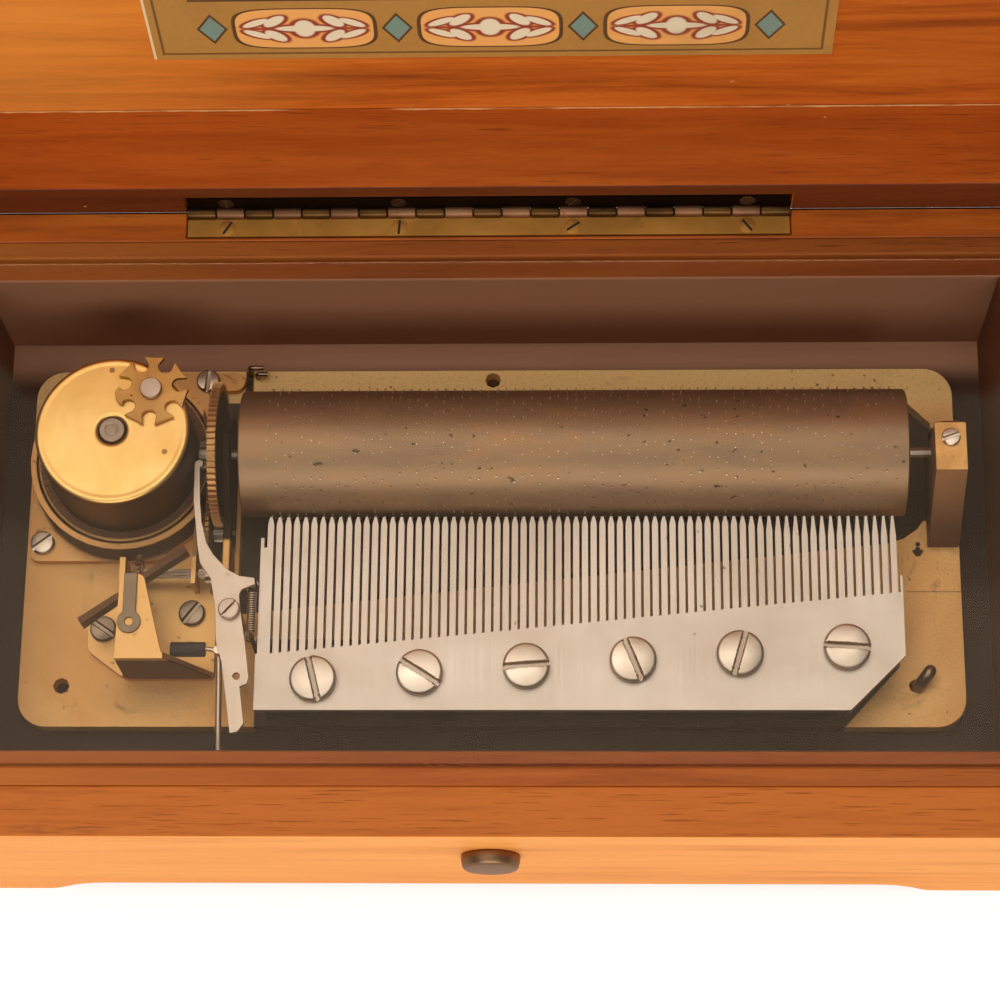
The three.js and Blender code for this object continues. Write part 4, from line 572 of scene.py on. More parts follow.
# The card is cut a little short on the left
CARD_CUT = 0.0025
card_low[0] += CARD_CUT
CARD_WIDE = card_high[0] - card_low[0]
CARD_TALL = card_high[2] - card_low[2]
card = Finish("card_print", Roughness=0.55)
across = card.along(0, float(card_low[0])) / float(CARD_WIDE)
up = card.along(2, float(card_low[2])) / float(CARD_TALL)


def band(value, low, high, soft):
    """1 where a value lies between two limits."""
    return card.fade(value, low - soft, low + soft) * (1 - card.fade(value, high - soft, high + soft))


def frame_line(x_low, x_high, y_low, y_high):
    """1 on a rectangular line round the card's middle, between two distances from it each way."""
    upright = band(fold_x, x_low, x_high, 0.001) * (fold_y < y_high)
    level_line = band(fold_y, y_low, y_high, 0.001) * (fold_x < x_high)
    return (upright + level_line).least(1.0)


olive, ink, field, teal = srgb(194, 140, 66), srgb(92, 60, 30), srgb(250, 178, 98), srgb(124, 150, 136)
rust, ivory = srgb(158, 56, 34), srgb(246, 228, 194)
fold_x = abs(across - 0.5)
fold_y = abs(up - 0.5)
FIELD_PITCH, FIELD_HALF, BAND_MIDDLE, BAND_HALF = 0.27, 0.105, 0.36, 0.092
colour = card.mix(card.noise(900, 3, 0.6), olive, srgb(178, 126, 58))
colour = card.mix(frame_line(0.482, 0.486, 0.47, 0.478) * 0.8, colour, ink)
# One field's own coordinates, from -0.5 to 0.5 along the band, repeated three times across the card
along = ((across - 0.5) / FIELD_PITCH + 0.5).maths("FRACT", (across - 0.5) / FIELD_PITCH + 0.5) - 0.5
rise = (fold_y - BAND_MIDDLE) / BAND_HALF
in_fields = fold_x < 1.5 * FIELD_PITCH


def petal(x, y, half_long, half_wide, turn):
    """1 inside a leaf on the field, half_long by half_wide, turned by an angle: an ellipse's equation."""
    dx, dy = (along - x) * 2.6, rise - y
    u = dx * float(np.cos(turn)) + dy * float(np.sin(turn))
    v = dy * float(np.cos(turn)) - dx * float(np.sin(turn))
    reach = ((u / half_long) * (u / half_long) + (v / half_wide) * (v / half_wide)) ** 0.5
    return 1 - card.fade(reach, 0.88, 1.12)


shape = ((along / (FIELD_HALF / FIELD_PITCH)) ** 4.0 + rise ** 4.0)
inner_shape = 1 - card.fade(shape, 0.8, 0.86)
outer_shape = 1 - card.fade(shape, 1.0, 1.08)
colour = card.mix(outer_shape * in_fields, colour, ink)
colour = card.mix(inner_shape * in_fields, colour, field)
stalk = band(rise, -0.05, 0.05, 0.03) * band(abs(along), -0.1, 0.3, 0.01)
print_red, print_pale = stalk, stalk * 0
leaves = [(x, half * y, half * turn, size) for x, y, turn, size in (
    (-0.26, 0.28, 0.9, 1.0), (-0.16, 0.36, 1.2, 1.1), (0.16, 0.36, 1.9, 1.1), (0.26, 0.28, 2.2, 1.0))
    for half in (1, -1)]
for x, y, turn, size in leaves + [(0.0, 0.0, 0.0, 1.5), (0.0, 0.0, 1.57, 1.5)]:
    print_red = print_red.most(petal(x, y, 0.34 * size, 0.16 * size, turn))
    print_pale = print_pale.most(petal(x, y, 0.27 * size, 0.1 * size, turn))
colour = card.mix(print_red * in_fields, colour, rust)
colour = card.mix(print_pale * in_fields, colour, ivory)
between = abs(abs(along) - 0.5) / 0.085 + abs(rise) / 0.75
colour = card.mix((between < 1) * (fold_x < 0.45), colour, ink)
colour = card.mix((between < 0.8) * (fold_x < 0.45), colour, teal)
middle_field = (fold_x < 0.43) * (fold_y < 0.225)
colour = card.mix(middle_field, colour, srgb(226, 206, 158))
colour = card.mix(frame_line(0.43, 0.433, 0.225, 0.235), colour, ink)
rule = card.node("ShaderNodeMath", {"operation": "PINGPONG"}, {0: up * 14, 1: 0.5})
ruled = (rule < 0.035) * (fold_x < 0.36) * (fold_y < 0.17)
colour = card.mix(ruled * 0.7, colour, srgb(120, 84, 52))
colour = card.mix((across < 0.004) * 0.8, colour, srgb(252, 226, 176))
age = card.noise(45, 5, 0.6, 0.4)
colour = card.mix(card.fade(age, 0.5, 0.75) * 0.25, colour, srgb(120, 84, 44))
card.set(Base_Color=colour, Normal=card.bump(card.noise(2200, 2, 0.5), 0.00003, 0.4))
trimmed = solid_copy("tune_card")
points = points_of(trimmed)
points[:, 0] = np.maximum(points[:, 0], card_low[0])
move_points(trimmed, points)
show("tune_card_dressed", trimmed, card.material, "tune_card")


# Bedplate. A brass casting with a sandy skin, filed flat at the edges. It is open under the cylinder,
# and its top has yellowed and gone brown in spots. Shade beside the cylinder's ends, in front of the
# comb and in the keyhole is painted on, and the back rail is painted paler as painted light.

SHARP, SOFT = 0.0001, 0.0003


def strip(axis, low, high):
    """1 between two places along an axis of the bed, in millimetres."""
    here = bed_brass.along(axis)
    return (bed_brass.fade(here, level(axis, low), level(axis, low) + SOFT)
            - bed_brass.fade(here, level(axis, high), level(axis, high) + SOFT))


def within(x_low, x_high, y_low, y_high):
    """1 inside a rectangle of the bed, in millimetres."""
    return strip(0, x_low, x_high) * strip(1, y_low, y_high)


bed_brass = Finish("bed_brass", Specular_IOR_Level=0.3)
clouds = bed_brass.noise(60, 5, 0.6, 0.6, (7, 7, 7))
grain = bed_brass.noise(1900, 3, 0.65, 0.3, (7, 0, 0))
stains = bed_brass.fade(bed_brass.noise(150, 4, 0.6, 0.8, (7, 2, 5)), 0.58, 0.76)
pits = bed_brass.fade(bed_brass.noise(1100, 1, 0.4, 0, (3, 7, 1)), 0.75, 0.79)
tone = bed_brass.mix(bed_brass.fade(clouds, 0.32, 0.68), srgb(240, 178, 104), srgb(254, 198, 124))
# Painted light: towards its back rail the bed turns paler and less metallic
bed_painted_light = bed_brass.fade(bed_brass.along(1), level(1, 23), level(1, 28))
tone = bed_brass.mix(bed_painted_light, tone, srgb(255, 208, 134))
tone = bed_brass.mix(bed_brass.fade(grain, 0.5, 0.68) * 0.22, tone, srgb(150, 100, 54))
tone = bed_brass.mix(stains * 0.4, tone, srgb(128, 88, 54))
brown_patches = ((-56, -27, 14, 5), (-66, -4, 13, 4), (-43, -27, 5, 6), (76, 18, 6, 8), (66, -26, 5, 4))
for x, y, wide, tall in brown_patches:
    off_x = bed_brass.along(0, level(0, x)) / (wide / 1000)
    off_y = bed_brass.along(1, level(1, y)) / (tall / 1000)
    patch = 1 - bed_brass.fade((off_x * off_x + off_y * off_y) ** 0.5, 0.2, 1.0)
    tone = bed_brass.mix(patch * (0.25 + stains * 0.5), tone, srgb(134, 92, 56))
tone = bed_brass.mix(pits * 0.7, tone, srgb(70, 46, 30))
# Painted shade: dark patches on the bed beside both ends of the cylinder
dark = within(-47.2, -41.2, 15, 26.1).most(within(-43.4, -42.0, 24, 33)).most(within(69.5, 76.4, 4, 21))
tone = bed_brass.mix(within(70.5, 81, -8.75, -8.6) * 0.8, tone, srgb(96, 62, 36))
# The comb throws its shade on the strip in front of it, up to a slanting end beside the cut corner
slant = bed_brass.along(0, level(0, 59.8)) - bed_brass.along(1, level(1, -32.05)) * 0.907
dark = dark.most(within(-39.8, 69, -33, -17) * (1 - bed_brass.fade(slant, -0.0002, 0.0003)))
# A keyhole at the right end, painted as dark circles that run into one another: painted shade in the hole
for x, y, radius in ((73.0, -0.05, 0.42), (72.95, -0.9, 0.45), (72.95, -1.5, 0.72),
                     (72.3, -1.3, 0.28), (73.6, -1.3, 0.28)):
    reach = bed_brass.from_line(2, spot(x, y, 0))
    dark = dark.most(1 - bed_brass.fade(reach, radius / 1000 - SHARP, radius / 1000 + SHARP))
# All these dark marks are painted shade, in one near-black brown
tone = bed_brass.mix(dark * 0.96, tone, srgb(46, 34, 27))
bed_brass.set(Base_Color=tone, Metallic=0.4 - bed_painted_light * 0.4,
              Roughness=0.5 + clouds * 0.1 + stains * 0.12 + dark * 0.2,
              Normal=bed_brass.bump(grain - pits * 0.6, 0.00016, 0.8))
dress("bedplate", bed_brass.material, 0.0003)
dress("comb_base", worn_brass("comb_base_brass", (110, 78, 48), (66, 46, 30), 0.5, 1.0, 2.0, 0.5), 0.0003)


# Comb. One plate of hardened steel with 72 tongues sawn into it, ground on top. The grinding leaves
# fine lines and a few rust freckles.

def ground_steel(name, pale, deep, rough, lines, seed, spots=1.0, painted_shade_below=None):
    """Steel with fine parallel grinding lines, soft tarnish clouds and brown freckles, and painted shade
    below a height if one is given."""
    metal = Finish(name, Metallic=1.0)
    clouds = metal.noise(38, 4, 0.6, 0.5, (seed, seed, 0))
    brush = metal.noise(lines, 3, 0.6, 0.1, (0, seed, seed))
    freckles = metal.fade(metal.noise(520, 2, 0.5, 0.4, (seed, 4, 2)), 0.73, 0.78)
    colour = metal.mix(metal.fade(clouds, 0.3, 0.7), srgb(*deep), srgb(*pale))
    colour = metal.mix(brush * 0.14, colour, srgb(*(0.6 * np.array(deep))))
    colour = metal.mix(freckles * (0.55 * spots), colour, srgb(120, 84, 58))
    # Painted shade below the given height
    if painted_shade_below is not None:
        low = 1 - metal.fade(metal.along(2), painted_shade_below, painted_shade_below + 0.0004)
        colour = metal.mix(low * 0.6, colour, srgb(96, 72, 54))
    return metal.set(Base_Color=colour, Roughness=rough + brush * 0.14 + freckles * 0.2,
                     Normal=metal.bump(brush, 0.00003, 0.5))


comb_steel = ground_steel("comb_steel", (230, 214, 196), (212, 194, 174), 0.45, (5200, 70, 5200), 1.0)
comb_mesh = solid_copy("comb", False)
points = points_of(comb_mesh)
TIP_Y, TAPER, TAPER_LONGER = level(1, 1.5), 0.0013, 0.0022
shoulders = np.abs(points[:, 1] - (TIP_Y - TAPER)) < 0.00005
points[shoulders, 1] -= TAPER_LONGER * np.clip((points[shoulders, 0] - level(0, 42)) / 0.010, 0, 1)
move_points(comb_mesh, points)
show("comb_plate", comb_mesh, comb_steel, "comb")


# Comb screws. Six large cheese-headed steel screws, slightly domed and polished, that clamp the comb
# to its base.

def slotted_head(name, centre, radius, height, slot_wide, turn, sides, dome):
    """A screw head on a polar grid: height falls off towards a rounded rim, and drops in a slot."""
    shares = np.concatenate([np.linspace(0, 0.9, 28), [0.94, 0.97, 0.99, 1.0, 1.0]])
    crown = 1 - dome * 0.25 * shares ** 2
    crown[-5:] = [0.79 * 0.98, 0.74, 0.66, 0.52, 0.0]
    angle = np.linspace(0, 2 * np.pi, sides, endpoint=False)
    x = shares[:, None] * np.cos(angle) * radius
    y = shares[:, None] * np.sin(angle) * radius
    z = np.repeat((crown * height)[:, None], sides, 1)
    across = np.abs(-np.sin(turn) * x + np.cos(turn) * y)
    slot_floor = height * 0.4
    soft = slot_wide * 0.12
    share = np.clip((across - slot_wide / 2) / soft + 0.5, 0, 1)
    z = np.where(z > slot_floor, slot_floor + (z - slot_floor) * share, z)
    z[-1] = 0
    grid = np.stack([x, y, z], -1) + np.asarray(centre)
    closing = np.repeat(np.asarray(centre)[None, None], sides, 1)
    return lattice(name, np.concatenate([grid, closing]))


def middle_of(node):
    """The middle of a round CAD node seen from above, and its radius."""
    low, high = box_of(node)
    return (low + high)[:2] / 2, (high[0] - low[0]) / 2


def screw_head(node, seat, turn, material, slot=0.0006, radius=None, sides=64, dome=0.5):
    """A slotted head from the height of its seat to the top of its CAD node, turned by degrees."""
    centre, node_radius = middle_of(node)
    head = slotted_head(node + "_head", [*centre, seat], radius or node_radius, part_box(node)[1][2] - seat,
                        slot, np.radians(turn), sides, dome)
    show(node + "_head", head, material, node, smooth=60)


screw_steel = ground_steel("screw_steel", (214, 196, 174), (170, 150, 130), 0.24, 3000, 4.0, 0.8)
comb_top, head_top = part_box("comb")[1][2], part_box("comb_screw_1")[1][2]
# The comb screws are painted darker below their slots' floor: painted shade in the slots and at the heads'
# foot
head_steel = ground_steel("head_steel", (226, 208, 186), (186, 166, 144), 0.24, 420, 4.0, 0.8,
                          comb_top + (head_top - comb_top) * 0.42)
for index, turn in enumerate((-76, -33, 4, -68, 74, -4)):
    screw_head(f"comb_screw_{index + 1}", comb_top, turn, head_steel, 0.00095, sides=112, dome=0.9)


# Cylinder. A brass tube, dark with age, drilled and pinned with some thousands of short steel wires.
# Its ends are closed by recessed discs, and it turns with the arbor and the great wheel.

cylinder_low, cylinder_high = box_of("cylinder_shell")
CYLINDER_RADIUS = 0.01075
CYLINDER_AXIS = spot(0, 12.98, 10)
SHORTER, RECESS, RIM, BORE, ROUNDED = 0.0006, 0.0012, 0.0011, 0.0012, 0.0002
left, right = cylinder_low[0] + SHORTER - CYLINDER_AXIS[0], cylinder_high[0] - SHORTER - CYLINDER_AXIS[0]
rings = np.array([
    (BORE, left + RECESS), (CYLINDER_RADIUS - RIM, left + RECESS), (CYLINDER_RADIUS - RIM, left),
    (CYLINDER_RADIUS - ROUNDED, left), (CYLINDER_RADIUS, left + ROUNDED),
    (CYLINDER_RADIUS, right - ROUNDED), (CYLINDER_RADIUS - ROUNDED, right),
    (CYLINDER_RADIUS - RIM, right), (CYLINDER_RADIUS - RIM, right - RECESS),
    (BORE, right - RECESS), (BORE, left + RECESS)])
tube = turned("pinned_tube", rings[:, 0], rings[:, 1], CYLINDER_AXIS, 0, 160)
dark_tube = Finish("dark_tube", Metallic=1.0)
tarnish = dark_tube.noise((70, 260, 260), 5, 0.65, 0.8)
rub = dark_tube.noise((26, 90, 90), 3, 0.6, 0.4, (2, 0, 0))
drawn = dark_tube.noise((5200, 160, 160), 2, 0.5)
tone = dark_tube.ramp(tarnish * 0.6 + rub * 0.4, (0.3, srgb(138, 110, 86)), (0.5, srgb(156, 126, 96)),
                      (0.72, srgb(180, 136, 92)))
specks = dark_tube.fade(dark_tube.noise((620, 900, 900), 1, 0.5, 0, (4, 2, 7)), 0.72, 0.76)
tone = dark_tube.mix(specks * 0.7, tone, srgb(52, 36, 26))
dark_tube.set(Base_Color=tone, Roughness=0.42 + tarnish * 0.2,
              Normal=dark_tube.bump(tarnish * 0.4 + drawn * 0.15, 0.00003, 0.5))
show("pinned_tube", tube, dark_tube.material, "cylinder_shell", smooth=40)

# Each tooth's track takes its pins at uneven steps round the tube, from a start that shifts by track
TRACKS, PER_TRACK, PITCH, FIRST_TRACK, START_SHIFT = 72, 17, 0.00147, -0.0367, 0.6180339
PIN_RISE, PIN_THICK = 0.00042, 0.00015
chance = np.random.default_rng(7)
gaps = chance.uniform(0.4, 1.6, (TRACKS, PER_TRACK))
steps = np.arange(TRACKS)[:, None] * START_SHIFT + np.cumsum(gaps, 1) / PER_TRACK
turns = (2 * np.pi * steps).ravel()
tracks = np.repeat(np.arange(TRACKS), PER_TRACK)
pin_x = CYLINDER_AXIS[0] + FIRST_TRACK + tracks * PITCH + chance.normal(0, 0.00003, len(tracks))
outward = np.column_stack([np.zeros(len(turns)), np.cos(turns), np.sin(turns)])
sideways = np.column_stack([np.zeros(len(turns)), -np.sin(turns), np.cos(turns)])
corners = np.array([(1, 0), (-0.5, 0.87), (-0.5, -0.87)]) * PIN_THICK
foot = CYLINDER_RADIUS - 0.00005
base = np.column_stack([pin_x, np.full(len(turns), CYLINDER_AXIS[1]), np.full(len(turns), CYLINDER_AXIS[2])])
points = np.stack([base + outward * reach + sideways * along_round + np.array([along_x, 0, 0])
                   for reach in (foot, CYLINDER_RADIUS + PIN_RISE) for along_x, along_round in corners], 1)
offsets = (np.arange(len(turns)) * 6)[:, None, None]
faces = offsets + np.array([[0, 1, 4], [0, 4, 3], [1, 2, 5], [1, 5, 4], [2, 0, 3], [2, 3, 5],
                            [3, 4, 5], [0, 2, 1]])[None]
pins = bpy.data.meshes.new("tune_pins")
pins.from_pydata(points.reshape(-1, 3).tolist(), [], faces.reshape(-1, 3).tolist())
pin_steel = ground_steel("pin_steel", (246, 222, 192), (206, 176, 142), 0.3, 900, 2.0)
show("tune_pins", pins, pin_steel, "cylinder_shell", replaces=False)
arbor_steel = ground_steel("arbor_steel", (190, 178, 164), (132, 118, 102), 0.28, (4000, 300, 300), 6.0)
dress("cylinder_arbor", arbor_steel)
wheel_brass = worn_brass("wheel_brass", (178, 136, 88), (112, 80, 50), 0.38, 1.0, 9.0)
tooth_brass = Finish("great_wheel_teeth", Metallic=1.0)
# Painted shade: the wheel's face inside the tooth ring is near black, only the teeth brass
TOOTH_FOOT, TOOTH_TIP = 0.0104, 0.0112
tip = tooth_brass.fade(tooth_brass.from_line(0, CYLINDER_AXIS), TOOTH_FOOT, TOOTH_TIP)
grime = tooth_brass.noise(700, 3, 0.6, 0.4)
bright = tooth_brass.mix(grime, srgb(160, 118, 76), srgb(214, 166, 108))
tooth_brass.set(Base_Color=tooth_brass.mix(tip, srgb(56, 42, 32), bright),
                Roughness=0.4 + grime * 0.2, Normal=tooth_brass.bump(grime, 0.00005, 0.4))
# The rim is a little wider than the part's solid and stands closer to the cylinder, as it shows from above
great_mesh = solid_copy("great_wheel")
points = points_of(great_mesh)
great_middle = (points[:, 0].min() + points[:, 0].max()) / 2
WIDER, NEARER = 1.15, 0.0003
points[:, 0] = great_middle + NEARER + (points[:, 0] - great_middle) * WIDER
move_points(great_mesh, points)
show("great_wheel_rim", great_mesh, tooth_brass.material, "great_wheel", smooth=25)


# Bearings at both ends. On the right a curved brass arm stands on the bed, on the left a flat brass
# cock, which also takes the ends of the two governor arbors.

arm_brass = worn_brass("arm_brass", (232, 182, 112), (186, 132, 76), 0.34, 0.7, 11.0, 0.6)
bracket = dress("right_bracket", arm_brass, 0.0005, 3, 30, corners=(0.004, 0.04, 0.0014))
# Painted shade: the arm's faces toward the front and the left take a darker brass, darkest at the foot
arm_painted_shade = Finish("arm_painted_shade", Metallic=0.7)
climb = arm_painted_shade.fade(arm_painted_shade.along(2), level(2, 1), level(2, 17))
cast = arm_painted_shade.noise(900, 3, 0.6, 0.2)
arm_painted_shade.set(Base_Color=arm_painted_shade.mix(climb, srgb(104, 72, 50), srgb(188, 134, 88)),
             Roughness=0.5 + cast * 0.15, Normal=arm_painted_shade.bump(cast, 0.0001, 0.6))
refinish(bracket, arm_painted_shade.material, lambda facing: facing.y < -0.5 or facing.x < -0.8)
cock_brass = Finish("cock_brass", Metallic=1.0)
# Painted shade: the cock is near black behind Y -1.5 mm, beside the great wheel and the cylinder
behind = cock_brass.fade(cock_brass.along(1, level(1, -1.5)), -0.0004, 0.0004)
grime = cock_brass.noise(260, 4, 0.6, 0.5)
facing_out = cock_brass.mix(grime, srgb(196, 144, 84), srgb(226, 174, 108))
cock_brass.set(Base_Color=cock_brass.mix(behind, facing_out, srgb(58, 44, 34)),
               Roughness=0.4 + grime * 0.15 + behind * 0.2, Normal=cock_brass.bump(grime, 0.00006, 0.5))
dress("side_cock", cock_brass.material, 0.0002)


screw_head("bracket_screw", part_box("right_bracket")[1][2], 20, screw_steel)


# Drum. A brass cup for the spring, turned and polished, pressed on to a flange whose upright teeth
# drive the cylinder. It turns in a collar on its own base plate.

drum_low, drum_high = box_of("barrel_shell")
drum_centre = (drum_low + drum_high) / 2
DRUM_RADIUS = (drum_high[0] - drum_low[0]) / 2
DRUM_TOP, DRUM_FOOT = drum_high[2], drum_low[2]
drum_axis = [drum_centre[0], drum_centre[1], 0]
bend = np.radians(np.linspace(0, 90, 9))
EDGE, HOLE, WALL = 0.0007, 0.0023, 0.0008
profile = np.concatenate([
    [(DRUM_RADIUS - WALL, DRUM_FOOT), (DRUM_RADIUS, DRUM_FOOT), (DRUM_RADIUS, DRUM_TOP - EDGE)],
    np.column_stack([DRUM_RADIUS - EDGE + EDGE * np.cos(bend), DRUM_TOP - EDGE + EDGE * np.sin(bend)]),
    [(DRUM_RADIUS - EDGE - 0.0002, DRUM_TOP), (DRUM_RADIUS - EDGE - 0.0005, DRUM_TOP - 0.00004),
     (DRUM_RADIUS - EDGE - 0.0008, DRUM_TOP - 0.00005), (DRUM_RADIUS - EDGE - 0.001, DRUM_TOP - 0.00005),
     (HOLE + 0.0008, DRUM_TOP - 0.00005), (HOLE + 0.0004, DRUM_TOP - 0.00005),
     (HOLE + 0.00035, DRUM_TOP - 0.0001), (HOLE, DRUM_TOP - 0.0004), (HOLE, DRUM_TOP - WALL),
     (DRUM_RADIUS - WALL, DRUM_TOP - WALL), (DRUM_RADIUS - WALL, DRUM_FOOT)]])
cup = turned("drum_cup", profile[:, 0], profile[:, 1], drum_axis, 2, 144)
cup_brass = Finish("cup_brass", Metallic=1.0)
turning = cup_brass.node("ShaderNodeTexNoise", {"noise_dimensions": "1D"},
                         {"W": cup_brass.from_line(2, drum_centre) * 4200, "Scale": 1.0, "Detail": 3.0})
clouds = cup_brass.noise(90, 4, 0.6, 0.7)
spots = cup_brass.fade(cup_brass.noise(700, 2, 0.5, 0.3, (5, 1, 2)), 0.76, 0.8)
tone = cup_brass.mix(cup_brass.fade(clouds, 0.3, 0.7), srgb(224, 178, 100), srgb(240, 198, 122))
side = cup_brass.fade(float(DRUM_TOP) - cup_brass.along(2), 0.0003, 0.0009)
tone = cup_brass.mix(side * 0.92, tone, srgb(96, 70, 54))
for dot_x, dot_y in ((-63.1, 23.7), (-53.6, 9.1)):
    place = spot(dot_x, dot_y, 0)
    dot = 1 - cup_brass.fade(cup_brass.from_line(2, place), 0.0004, 0.00055)
    tone = cup_brass.mix(dot * 0.75, tone, srgb(110, 72, 36))
tone = cup_brass.mix(spots * 0.6, tone, srgb(120, 80, 42))
cup_brass.set(Base_Color=tone, Roughness=0.3 + clouds * 0.1 + side * 0.1,
              Normal=cup_brass.bump(turning * 0.5 + clouds * 0.2, 0.00003, 0.5))
show("drum_cup", cup, cup_brass.material, "barrel_shell", smooth=50)

FLANGE_THICK = 0.0014
flange_low, flange_high = box_of("barrel_wheel")
FLANGE_RADIUS = (flange_high[0] - flange_low[0]) / 2
flange_top = DRUM_FOOT
plate_low, rim_top = flange_top - FLANGE_THICK, flange_high[2] - 0.00012
flange_rings = np.array([
    (0.0017, flange_low[2]), (0.0123, flange_low[2]), (0.0123, plate_low),
    (FLANGE_RADIUS - 0.0003, plate_low), (FLANGE_RADIUS, plate_low + 0.0003),
    (FLANGE_RADIUS, flange_high[2] - 0.0003),
    (FLANGE_RADIUS - 0.0002, rim_top), (0.0132, rim_top), (0.0132, flange_top), (0.0017, flange_top),
    (0.0017, flange_low[2])])
flange = turned("drum_flange", flange_rings[:, 0], flange_rings[:, 1], drum_axis, 2, 144)
CROWN_TEETH = 72
angle = np.arange(CROWN_TEETH) * 2 * np.pi / CROWN_TEETH
tooth = np.array([(r, t, z) for r in (0.0133, FLANGE_RADIUS - 0.0001) for t, z in (
    (-0.00029, flange_top - 0.0001), (0.00029, flange_top - 0.0001),
    (0.00012, flange_high[2]), (-0.00012, flange_high[2]))])
crown = np.empty((CROWN_TEETH, 8, 3))
crown[..., 0] = drum_centre[0] + tooth[:, 0] * np.cos(angle)[:, None] - tooth[:, 1] * np.sin(angle)[:, None]
crown[..., 1] = drum_centre[1] + tooth[:, 0] * np.sin(angle)[:, None] + tooth[:, 1] * np.cos(angle)[:, None]
crown[..., 2] = tooth[:, 2]
quads = np.array([[0, 1, 2, 3], [7, 6, 5, 4], [0, 4, 5, 1], [1, 5, 6, 2], [2, 6, 7, 3], [3, 7, 4, 0]])
crown_mesh = bpy.data.meshes.new("crown_teeth")
crown_mesh.from_pydata(crown.reshape(-1, 3).tolist(), [],
                       (np.arange(CROWN_TEETH)[:, None, None] * 8 + quads[None]).reshape(-1, 4).tolist())
tidy(crown_mesh)
flange_brass = Finish("flange_brass", Metallic=1.0)
outward = flange_brass.fade(flange_brass.from_line(2, drum_centre), float(FLANGE_RADIUS) - 0.0005,
                            float(FLANGE_RADIUS) - 0.0002)
patina = flange_brass.noise(300, 4, 0.6, 0.5)
dark_bronze = flange_brass.mix(patina, srgb(78, 56, 42), srgb(104, 76, 54))
flange_brass.set(Base_Color=flange_brass.mix(outward, dark_bronze, srgb(190, 142, 88)),
                 Roughness=0.38 + patina * 0.2, Normal=flange_brass.bump(patina, 0.00005, 0.4))
flange_brass = flange_brass.material
show("drum_flange", joined("drum_flange", [flange, crown_mesh]), flange_brass, "barrel_wheel", smooth=35)
base_brass = Finish("base_brass", Metallic=1.0)
base_low, base_high = box_of("barrel_base")
PLATE_THICK, COLLAR_IN, COLLAR_OUT = 0.0016, 0.01515, 0.0162
reach = base_brass.from_line(2, drum_centre)
climb = base_brass.along(2, float(base_low[2] + PLATE_THICK))
rim_height = float(base_high[2] - base_low[2] - PLATE_THICK)
# Painted shade: the collar's outer wall and the ring inside the collar take a dark brown
outside = base_brass.fade(reach, COLLAR_OUT - 0.0002, COLLAR_OUT - 0.00005)
below_rim = 1 - base_brass.fade(climb, rim_height - 0.0006, rim_height - 0.0002)
wall = outside * base_brass.fade(climb, -0.0001, 0.0001)
wall = wall * (reach < COLLAR_OUT + 0.0003) * below_rim
inner = 1 - base_brass.fade(reach, COLLAR_IN, COLLAR_IN + 0.0002)
clouds = base_brass.noise(80, 5, 0.6, 0.6, (1, 4, 2))
stains = base_brass.fade(base_brass.noise(420, 3, 0.6, 0.8, (7, 2, 5)), 0.62, 0.7)
pits = base_brass.fade(base_brass.noise(1500, 1, 0.4, 0, (3, 6, 1)), 0.74, 0.78)
tone = base_brass.mix(clouds, srgb(186, 134, 80), srgb(222, 170, 108))
tone = base_brass.mix(stains * 0.45, tone, srgb(104, 72, 46))
tone = base_brass.mix(pits * 0.7, tone, srgb(58, 38, 26))
tone = base_brass.mix(wall.most(inner) * 0.93, tone, srgb(70, 50, 38))
base_brass.set(Base_Color=tone, Roughness=0.42 + clouds * 0.12 + wall * 0.2 + stains * 0.1,
               Normal=base_brass.bump(clouds * 0.4 - pits * 0.5, 0.00006, 0.5))
dress("barrel_base", base_brass.material, 0.00035, 3, corners=(0.0014, 0.0018, 0.0023))
frame["nodes"]["mainspring"].material_slots[0].material = ground_steel(
    "spring_strip", (120, 116, 120), (80, 76, 80), 0.3, (300, 300, 4000), 3.0)
for index, turn in enumerate((38, 85)):
    screw_head(f"barrel_base_screw_{index + 1}", base_low[2] + PLATE_THICK, turn, screw_steel, 0.0007)


# Stop work on the drum. A small seven-armed brass wheel that counts the turns of the spring, filed by
# hand and held on the cap by a bright shouldered screw. The winding arbor's end shows in the cap's middle.

star_low, star_high = box_of("geneva_cross")
star_centre = middle_of("geneva_screw")[0]
ARMS, NOTCH_PLACE, NOTCH = 7, 0.00472, 0.0012
half_step = np.pi / ARMS
notch_centre = NOTCH_PLACE * np.array([np.cos(half_step), np.sin(half_step)])
sweep = np.radians(np.linspace(205.7, 318, 9))
flank = notch_centre + NOTCH * np.column_stack([np.cos(sweep), np.sin(sweep)])
horn = np.array([(0.00598, 0.00176), (0.00588, 0.0008)])
upper = np.concatenate([flank, horn])
rounded = np.concatenate([flank[:-1], [(0.00525, 0.0016), (0.0058, 0.0012), (0.0061, 0.0005)]])
star_outline = []
for number in range(ARMS):
    side = rounded if number == 4 else upper
    arm = np.concatenate([side * (1, -1), side[::-1][:-1]])
    turn = np.radians(-15 + number * 360 / ARMS)
    star_outline.append(np.column_stack([arm[:, 0] * np.cos(turn) - arm[:, 1] * np.sin(turn),
                                         arm[:, 0] * np.sin(turn) + arm[:, 1] * np.cos(turn)]))
star_outline = np.concatenate(star_outline) + star_centre
star_mesh = slab("stop_star", star_outline, star_low[2], star_high[2])
star_brass = worn_brass("star_brass", (224, 174, 104), (186, 138, 78), 0.42, 2.0, 17.0)
ease(show("stop_star", star_mesh, star_brass, "geneva_cross"), 0.0001, angle=30, slide=True)
screw_low, screw_high = box_of("geneva_screw")
pivot = turned("star_pivot", [0, 0.0010, 0.0010, 0.00185, 0.00185, 0.0017, 0.0],
               [screw_low[2], screw_low[2], screw_high[2] - 0.0009, screw_high[2] - 0.0009,
                screw_high[2] - 0.0002, screw_high[2], screw_high[2]], [*star_centre, 0], 2, 48)
show("star_pivot", pivot, screw_steel, "geneva_screw", smooth=40)
post_low, post_high = box_of("winding_arbor")
